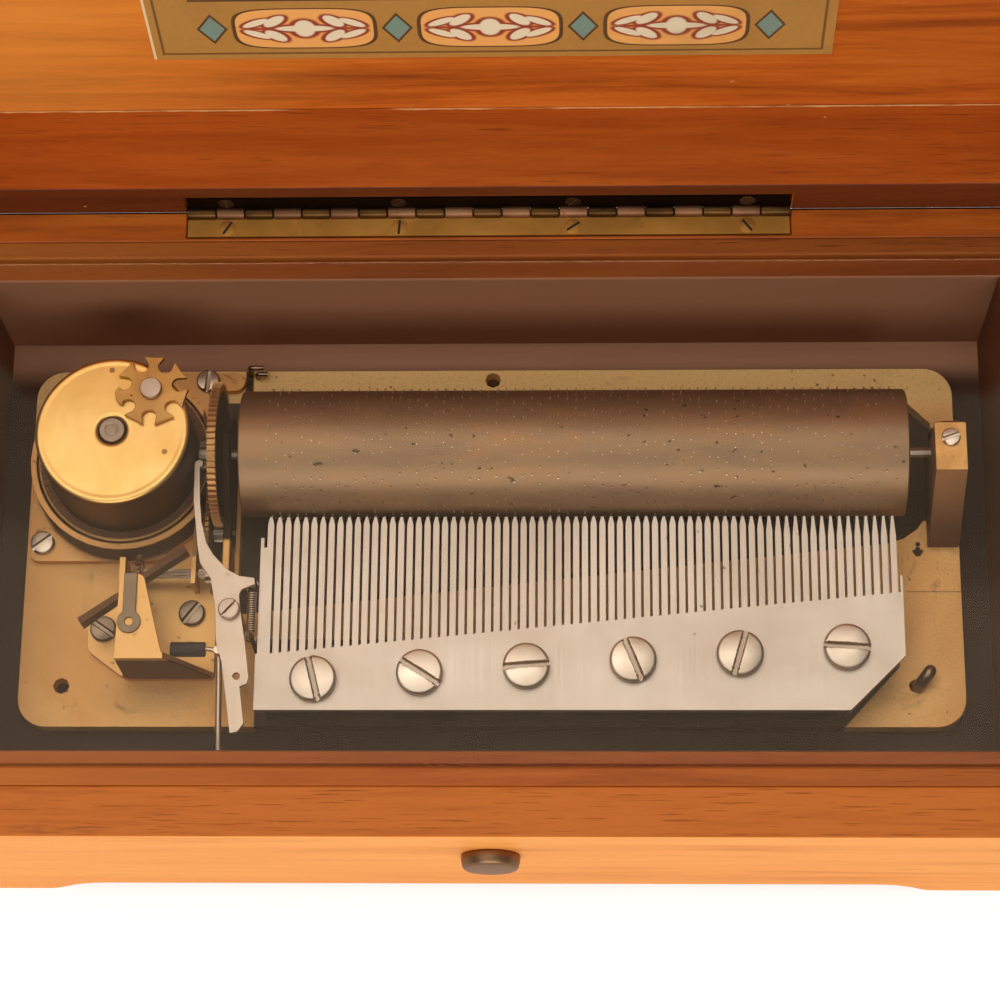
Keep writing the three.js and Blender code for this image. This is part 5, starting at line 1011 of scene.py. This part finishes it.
post = turned("winding_post", [0, 0.0014, 0.0014, 0.00212, 0.00212, 0.002, 0.0012, 0.0011, 0.0009, 0.0008, 0],
              [post_low[2], post_low[2], post_high[2] - 0.0005, post_high[2] - 0.0005,
               post_high[2] - 0.00015, post_high[2], post_high[2], post_high[2] - 0.0001,
               post_high[2] - 0.0001, post_high[2], post_high[2]], drum_axis, 2, 48)
post_steel = ground_steel("post_steel", (172, 152, 132), (124, 106, 90), 0.3, 900, 5.0)
show("winding_post", post, post_steel, "winding_arbor", smooth=40)
dress("winding_key", worn_brass("key_steel", (150, 142, 132), (110, 100, 90), 0.3, 0.6, 19.0), 0.0005, 3)


# Governor. A bent brass frame that carries two small arbors and an upright fly. The fly's flat vanes
# beat the air and hold the tune to an even speed.

governor_brass = Finish("governor_brass", Metallic=0.9)
across, back, up_high = (governor_brass.along(axis, level(axis, 0)) for axis in range(3))
# Painted shade: dark on the far part of the right end, and on the front edge between the foot and the top
shaded = governor_brass.fade(across, -0.048, -0.0475) * governor_brass.fade(back, -0.0095, -0.009)
front = (1 - governor_brass.fade(back, -0.0241, -0.0239)) * (1 - governor_brass.fade(up_high, 0.0124, 0.0128))
shaded = shaded.most(front * governor_brass.fade(up_high, 0.0013, 0.0015))
clouds = governor_brass.noise(120, 5, 0.6, 0.6, (21, 2, 21))
pits = governor_brass.fade(governor_brass.noise(900, 2, 0.4, 0, (3, 21, 1)), 0.68, 0.74)
tone = governor_brass.mix(clouds, srgb(204, 152, 90), srgb(240, 190, 120))
tone = governor_brass.mix(pits * 0.6, tone, srgb(110, 76, 44))
tone = governor_brass.mix(shaded * 0.85, tone, srgb(92, 60, 40))
governor_brass.set(Base_Color=tone, Roughness=0.42 + clouds * 0.12 + shaded * 0.15,
                   Normal=governor_brass.bump(clouds * 0.3 - pits * 0.5, 0.00008, 0.5))
dress("governor_frame", governor_brass.material, 0.0002, corners=(0.0008, 0.002, 0.0014))
arbor_box_low, arbor_box_high = box_of("second_arbor")
arbor_line = (arbor_box_low + arbor_box_high) / 2
shaft_steel = Finish("shaft_steel", Metallic=1.0)
wheel_part = shaft_steel.fade(shaft_steel.from_line(0, arbor_line), 0.00165, 0.0018)
oil = shaft_steel.noise(500, 3, 0.6, 0.4)
shaft_tone = shaft_steel.mix(oil, srgb(104, 86, 68), srgb(206, 182, 154))
wheel_tone = shaft_steel.mix(oil, srgb(98, 74, 52), srgb(150, 116, 80))
shaft_steel.set(Base_Color=shaft_steel.mix(wheel_part, shaft_tone, wheel_tone),
                Roughness=0.22 + oil * 0.15 + wheel_part * 0.25, Normal=shaft_steel.bump(oil, 0.00004, 0.4))
dress("first_wheel", wheel_brass)
# The second arbor is thick between its wheel and the frame's upright, with a fluted part for the first wheel
flutes, flute_angle = 10, np.linspace(0, 2 * np.pi, 80, endpoint=False)
fluted = []
for left, right in ((-58.8, -50.7), (-49.3, -48.2)):
    wave = 0.00084 - 0.0002 * (0.5 - 0.5 * np.cos(flutes * flute_angle)) ** 2
    ends = np.array([level(0, left), level(0, right)])
    ring = np.stack([np.zeros(80), np.cos(flute_angle) * wave, np.sin(flute_angle) * wave], -1)
    middle = np.repeat(np.array([[0, arbor_line[1], arbor_line[2]]]), 80, 0)
    across = [np.array([ends[0], 0, 0]), np.array([ends[1], 0, 0])]
    fluted.append(lattice("flutes", np.stack([middle + across[0], middle + ring + across[0],
                                              middle + ring + across[1], middle + across[1]])))
show("second_arbor_dressed", joined("second_arbor_dressed", [solid_copy("second_arbor"), *fluted]),
     shaft_steel.material, "second_arbor", smooth=32)
dress("first_arbor", arbor_steel)
fly_brown = ground_steel("fly_sheet", (122, 86, 60), (86, 58, 40), 0.42, 900, 7.0)
# The vanes show wider from above than the part's flat sheet, as if they were bent a little out of true
fly_mesh = solid_copy("fly_screw")
points = points_of(fly_mesh)
fly_axis = spot(-59.4, -10.9, 0)[:2]
vane = np.array([-0.8037, -0.5953])
beside = np.array([-vane[1], vane[0]])
offset = points[:, :2] - fly_axis
outside = (np.abs(offset @ vane) > 0.001) & (points[:, 2] > level(2, 9.1)) & (points[:, 2] < level(2, 12.3))
points[outside, :2] += 1.5 * (offset[outside] @ beside)[:, None] * beside
move_points(fly_mesh, points)
show("fly_screw_dressed", fly_mesh, fly_brown, "fly_screw", smooth=32)
strap_steel = ground_steel("strap_steel", (142, 120, 94), (74, 62, 52), 0.4, 1300, 9.0, 2.0)
dress("governor_strap", strap_steel, 0.0001)
worn_steel = ground_steel("worn_steel", (176, 152, 126), (118, 98, 80), 0.24, 900, 14.0, 1.4)
FRAME_THICK = 0.0014
for index, turn in enumerate((-35, 52)):
    screw_head(f"governor_screw_{index + 1}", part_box("governor_frame")[0][2] + FRAME_THICK, turn, worn_steel,
               0.0008)


# Stop lever. A lever cut from steel sheet that swings on a stepped post. A wire under it carries a
# rubber sleeve against the fly and runs forward to the knob; a small coil spring pulls it back.

lever_steel = ground_steel("lever_steel", (226, 206, 184), (208, 186, 162), 0.42, (3000, 90, 3000), 3.0)
wire_steel = ground_steel("wire_steel", (244, 222, 196), (214, 188, 160), 0.36, 900, 3.0)
lever_mesh = solid_copy("stop_lever")
points = points_of(lever_mesh)
for old, new in (((-41.28, -36.89), (-40.7, -36.65)), ((-39.99, -33.89), (-39.72, -35.2))):
    near = np.linalg.norm(points[:, :2] - spot(*old, 0)[:2], axis=1) < 0.00005
    points[near, :2] = spot(*new, 0)[:2]
move_points(lever_mesh, points)
ease(show("stop_lever_dressed", lever_mesh, lever_steel, "stop_lever"), 0.00015, slide=True)
centre = middle_of("lever_post")[0]
post_low, post_high = box_of("lever_post")
collar = turned("lever_collar", [0, 0.0017, 0.0017, 0.001, 0.001, 0.0],
                [post_low[2], post_low[2], post_low[2] + 0.0124, post_low[2] + 0.0124,
                 post_high[2] - 0.0006, post_high[2] - 0.0006], [*centre, 0], 2, 40)
show("lever_collar", collar, arbor_steel, "lever_post", smooth=40)
screw_head("lever_post", post_high[2] - 0.001, 48, lever_steel, 0.0003, radius=0.0018)


def tube_along(name, path, radius, sides=14):
    """A round tube: rings square to a path, each turned no more than the path itself turns."""
    path = np.asarray(path, float)
    radius = np.broadcast_to(radius, len(path))[:, None, None]
    ahead = np.gradient(path, axis=0)
    ahead /= np.linalg.norm(ahead, axis=1)[:, None]
    start = np.cross(ahead[0], [0.0, 0.0, 1.0] if abs(ahead[0][2]) < 0.9 else [1.0, 0.0, 0.0])
    first = np.empty_like(path)
    first[0] = start / np.linalg.norm(start)
    for step in range(1, len(path)):
        carried = first[step - 1] - ahead[step] * np.dot(first[step - 1], ahead[step])
        first[step] = carried / np.linalg.norm(carried)
    second = np.cross(ahead, first)
    angle = np.linspace(0, 2 * np.pi, sides, endpoint=False)
    grid = path[:, None] + radius * (first[:, None] * np.cos(angle)[None, :, None]
                                     + second[:, None] * np.sin(angle)[None, :, None])
    ends = [np.repeat(path[[place]], sides, 0)[None] for place in (0, -1)]
    return lattice(name, np.concatenate([ends[0], grid, ends[1]]))


def smooth_path(corners, count):
    """A curve through corner points: each stretch blends its neighbours' slopes (Catmull-Rom)."""
    corners = np.asarray(corners, float)
    padded = np.concatenate([[2 * corners[0] - corners[1]], corners, [2 * corners[-1] - corners[-2]]])
    place = np.linspace(0, len(corners) - 1, count)
    index = np.minimum(place.astype(int), len(corners) - 2)
    t = (place - index)[:, None]
    a, b, c, d = (padded[index + k] for k in range(4))
    return 0.5 * (2 * b + (c - a) * t + (2 * a - 5 * b + 4 * c - d) * t ** 2
                  + (3 * b - a - 3 * c + d) * t ** 3)


wire_path = smooth_path([spot(*p) for p in (
    (-52.6, -21.8, 10.6), (-49, -21.8, 10.6), (-45.9, -21.8, 10.6), (-44.75, -22.9, 10.4),
    (-44.6, -26, 9.8), (-44.6, -33, 8.3), (-44.6, -42, 6), (-44.6, -48.4, 6))], 90)
rivet_low = spot(-44.6, -22.4, 9.9)
rivet = turned("wire_rivet", [0, 0.0006, 0.0007, 0.0007, 0], [0, 0, 0.0002, 0.0028, 0.0028], rivet_low, 2, 24)
wire_mesh = joined("stop_wire", [tube_along("wire", wire_path, np.linspace(0.0003, 0.00062, 90)), rivet])
show("bent_wire", wire_mesh, wire_steel, "stop_wire", smooth=50)
sleeve_low, sleeve_high = box_of("brake_sleeve")
sleeve_middle = (sleeve_low + sleeve_high) / 2
reach = (sleeve_high[0] - sleeve_low[0]) / 2
sleeve = turned("sleeve", [0.0006, 0.0011, 0.00125, 0.00125, 0.0011, 0.0006, 0.0006],
                [-reach, -reach, -reach + 0.0001, reach - 0.0001, reach, reach, -reach], sleeve_middle, 0, 40)
rubber = Finish("sleeve_rubber", Roughness=0.75)
bloom = rubber.noise(900, 4, 0.6)
rubber.set(Base_Color=rubber.mix(bloom, srgb(30, 26, 24), srgb(56, 48, 44)),
           Normal=rubber.bump(bloom, 0.00005, 0.4))
show("sleeve", sleeve, rubber.material, "brake_sleeve", smooth=40)

SPRING_COILS, SPRING_RADIUS, SPRING_WIRE, HOOK = 17, 0.0007, 0.0001, 0.00095
spring_back, spring_front = spot(-39.35, -12.1, 11.5), spot(-39.35, -18.9, 11.5)
pin_place, anchor_place = spot(-39.35, -10.9, 11.5), spot(-39.35, -19.75, 11.5)
half_turn = np.linspace(0, np.pi, 14)
back_hook = pin_place + HOOK * np.column_stack([np.cos(half_turn), np.sin(half_turn), 0 * half_turn])
front_hook = anchor_place + HOOK * np.column_stack([-np.cos(half_turn), -np.sin(half_turn), 0 * half_turn])
wind = np.linspace(0, 1, SPRING_COILS * 24 + 1)
coil_angle = np.pi + 2 * np.pi * SPRING_COILS * wind
coil = np.column_stack([spring_back[0] + SPRING_RADIUS * np.cos(coil_angle),
                        spring_back[1] + (spring_front[1] - spring_back[1]) * wind,
                        spring_back[2] + SPRING_RADIUS * np.sin(coil_angle)])
spring_path = np.concatenate([back_hook, coil, front_hook])
spring_steel = Finish("spring_steel", Metallic=1.0)
# Painted shade: the coils are near black on their inner side, toward the spring's axis
inside = 1 - spring_steel.fade(spring_steel.from_line(1, spring_back), SPRING_RADIUS - 0.00005,
                               SPRING_RADIUS + 0.00001)
grease = spring_steel.noise(900, 3, 0.6)
outer_tone = spring_steel.mix(grease, srgb(206, 178, 150), srgb(250, 230, 204))
spring_steel.set(Base_Color=spring_steel.mix(inside, outer_tone, srgb(34, 24, 18)),
                 Roughness=0.3 + grease * 0.15 + inside * 0.3, Normal=spring_steel.bump(grease, 0.00002, 0.3))
spring = tube_along("pull_spring", spring_path, SPRING_WIRE, 8)
show("pull_spring", spring, spring_steel.material, "lever_spring", smooth=60)


# Stop knob and corner pin. A small turned knob on the front slides sideways to start and stop the
# tune. In the bed's right front corner stands a thick steel pin, curled over, and a bent wire clip
# sits on the back rail.

knob_low = box_of("stop_knob")[0]
front_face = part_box("front_wall")[0][1]
knob_place = np.array([level(0, 1), 0, level(2, 14.5)])
proud = front_face - knob_low[1]
steps = np.array([(0, 0.0101), (0.0015, 0.0101), (0.0015, -0.00015), (0.0047, -0.00015), (0.0048, -0.0004),
                  (0.0047, -0.0012), (0.0045, -proud + 0.0004), (0.0042, -proud + 0.0001), (0.0038, -proud),
                  (0, -proud)])
knob = turned("knob", steps[:, 0], front_face + steps[:, 1], knob_place, 1, 96)
# The hidden bar is drawn seen from the front, carried back, then stood up by changing its axes
bar_outline = [(-46.8, 4.4), (-45.2, 4.4), (-45.2, 8), (-44.0, 8), (-44.0, 4.4), (-42.4, 4.4), (-42.4, 13),
               (2.5, 13), (2.5, 16), (-46.8, 16)]
bar = slab("knob_bar", [spot(x, 0, z)[[0, 2]] for x, z in bar_outline], level(1, -48.8), level(1, -47.2))
move_points(bar, points_of(bar)[:, [0, 2, 1]])
tidy(bar)
knob_metal = Finish("knob_metal", Metallic=1.0)
turning = knob_metal.noise(700, 3, 0.6)
wear = knob_metal.noise(150, 4, 0.6, 0.5)
knob_metal.set(Base_Color=knob_metal.mix(wear, srgb(112, 84, 62), srgb(158, 124, 92)),
               Roughness=0.34 + wear * 0.15, Normal=knob_metal.bump(turning, 0.00004, 0.4))
show("knob", joined("knob", [knob, bar]), knob_metal.material, "stop_knob", smooth=35)
curl = smooth_path([spot(*p) for p in (
    (72.0, -25.3, -2.2), (72.2, -25.3, 0.6), (72.7, -24.8, 2.2), (73.6, -23.7, 3.0), (74.2, -22.6, 2.2))], 60)
from_end = np.linalg.norm(curl - curl[-1], axis=1)
PIN_RADIUS = 0.00105
loop_steel = ground_steel("loop_steel", (196, 164, 136), (112, 86, 66), 0.24, 800, 8.0)
thickness = PIN_RADIUS * np.sqrt(np.clip(1 - (1 - np.clip(from_end / PIN_RADIUS, 0, 1)) ** 2, 0.01, 1))
show("corner_pin", tube_along("corner_pin", curl, thickness, 28), loop_steel, "locating_pin", smooth=60)

clip_bars = [
    [(-42.3, 31.6, 0.2), (-42.3, 31.7, 2.4), (-41.9, 31.7, 3.0), (-41, 31.7, 3.0), (-39.9, 31.7, 3.0)],
    [(-41.1, 30.9, 0.2), (-41.1, 30.9, 1.5), (-40.8, 30.9, 2.0), (-40, 30.9, 2.0), (-39.2, 30.9, 2.0)]]
for index, corners in enumerate(clip_bars):
    clip = tube_along(f"rail_clip_{index + 1}", smooth_path([spot(*p) for p in corners], 40), 0.00042, 16)
    show(f"rail_clip_{index + 1}", clip, worn_steel, "bedplate", replaces=False, smooth=60)


# Camera, light and floor. The camera looks down over the front edge, as in the photograph. Three
# large soft lamps, overhead, behind and in front, stand for the studio's.

camera_data = bpy.data.cameras.new("camera")
camera = bpy.data.objects.new("camera", camera_data)
bpy.context.scene.collection.objects.link(camera)
bpy.context.scene.camera = camera
FOCAL, IMAGE, SENSOR = 2876.04, 1000, 36.0
ELEVATION, YAW, ROLL = np.radians(70.49), np.radians(-6.57), np.radians(-6.34)
view = np.array([np.sin(YAW) * np.cos(ELEVATION), np.cos(YAW) * np.cos(ELEVATION), -np.sin(ELEVATION)])
right = np.array([np.cos(YAW), -np.sin(YAW), 0.0])
upward = np.cross(right, view)
right_rolled = np.cos(ROLL) * right + np.sin(ROLL) * upward
up_rolled = -np.sin(ROLL) * right + np.cos(ROLL) * upward
EYE_AWAY = 0.4967
eye = spot(-2.39, 8.18, 0) - view * EYE_AWAY
basis = np.eye(4)
basis[:3, 0], basis[:3, 1], basis[:3, 2], basis[:3, 3] = right_rolled, up_rolled, -view, eye
camera.matrix_world = Matrix(basis.tolist())
camera_data.sensor_width = SENSOR
camera_data.lens = FOCAL * SENSOR / IMAGE
camera_data.shift_x = (IMAGE / 2 - 477.05) / IMAGE
camera_data.clip_start = 0.01


def lamp(name, place, target, size, power, tint):
    """A square soft lamp at a place, facing a target."""
    data = bpy.data.lights.new(name, "AREA")
    data.shape, data.size, data.size_y = "RECTANGLE", size[0], size[1]
    data.energy, data.color = power, tint
    item = bpy.data.objects.new(name, data)
    bpy.context.scene.collection.objects.link(item)
    place, target = np.array(place, float), np.array(target, float)
    back = place - target
    back /= np.linalg.norm(back)
    side = np.cross([0.0, 0.0, 1.0] if abs(back[2]) < 0.95 else [0.0, 1.0, 0.0], back)
    side /= np.linalg.norm(side)
    matrix = np.eye(4)
    matrix[:3, 0], matrix[:3, 1], matrix[:3, 2], matrix[:3, 3] = side, np.cross(back, side), back, place
    item.matrix_world = Matrix(matrix.tolist())


BOX_MIDDLE = (0, 0, 0.03)
WARM = (1.0, 0.95, 0.88)
lamp("overhead", (-0.2, -0.12, 1.0), BOX_MIDDLE, (1.2, 0.9), 3.6, WARM)
lamp("behind", (-0.05, 0.42, 1.1), BOX_MIDDLE, (1.1, 0.7), 3.0, WARM)
lamp("front", (0.0, -0.95, 0.5), BOX_MIDDLE, (1.0, 0.5), 6.5, WARM)

# The pale surroundings stand at full strength for the camera, and at a fifth for what mirrors them
world = bpy.data.worlds.new("studio")
bpy.context.scene.world = world
world.use_nodes = True
sky = world.node_tree
shade = sky.nodes["Background"]
path = sky.nodes.new("ShaderNodeLightPath")
seen = sky.nodes.new("ShaderNodeMath")
seen.operation = "MAXIMUM"
sky.links.new(path.outputs["Is Camera Ray"], seen.inputs[0])
sky.links.new(path.outputs["Is Transmission Ray"], seen.inputs[1])
bright = sky.nodes.new("ShaderNodeMix")
bright.data_type = "FLOAT"
bright.inputs[2].default_value, bright.inputs[3].default_value = 0.2, 1.0
sky.links.new(seen.outputs[0], bright.inputs[0])
sky.links.new(bright.outputs[0], shade.inputs["Strength"])
shade.inputs["Color"].default_value = (1.0, 0.98, 0.95, 1.0)

ground = bpy.data.meshes.new("ground")
ground.from_pydata([(-3, -3, 0), (3, -3, 0), (3, 3, 0), (-3, 3, 0)], [], [(0, 1, 2, 3)])
ground_piece = bpy.data.objects.new("ground", ground)
bpy.context.scene.collection.objects.link(ground_piece)
paper = Finish("ground_paper", Base_Color=(0.93, 0.93, 0.93, 1.0), Roughness=0.9)
ray = paper.node("ShaderNodeLightPath", output="Is Camera Ray")
paper.shader.inputs["Emission Strength"].default_value = 0.5
paper.set(Emission_Color=paper.mix(ray, (0.0, 0.0, 0.0, 1.0), (1.0, 1.0, 1.0, 1.0)))
ground.materials.append(paper.material)

scene = bpy.context.scene
scene.view_settings.view_transform = "Standard"
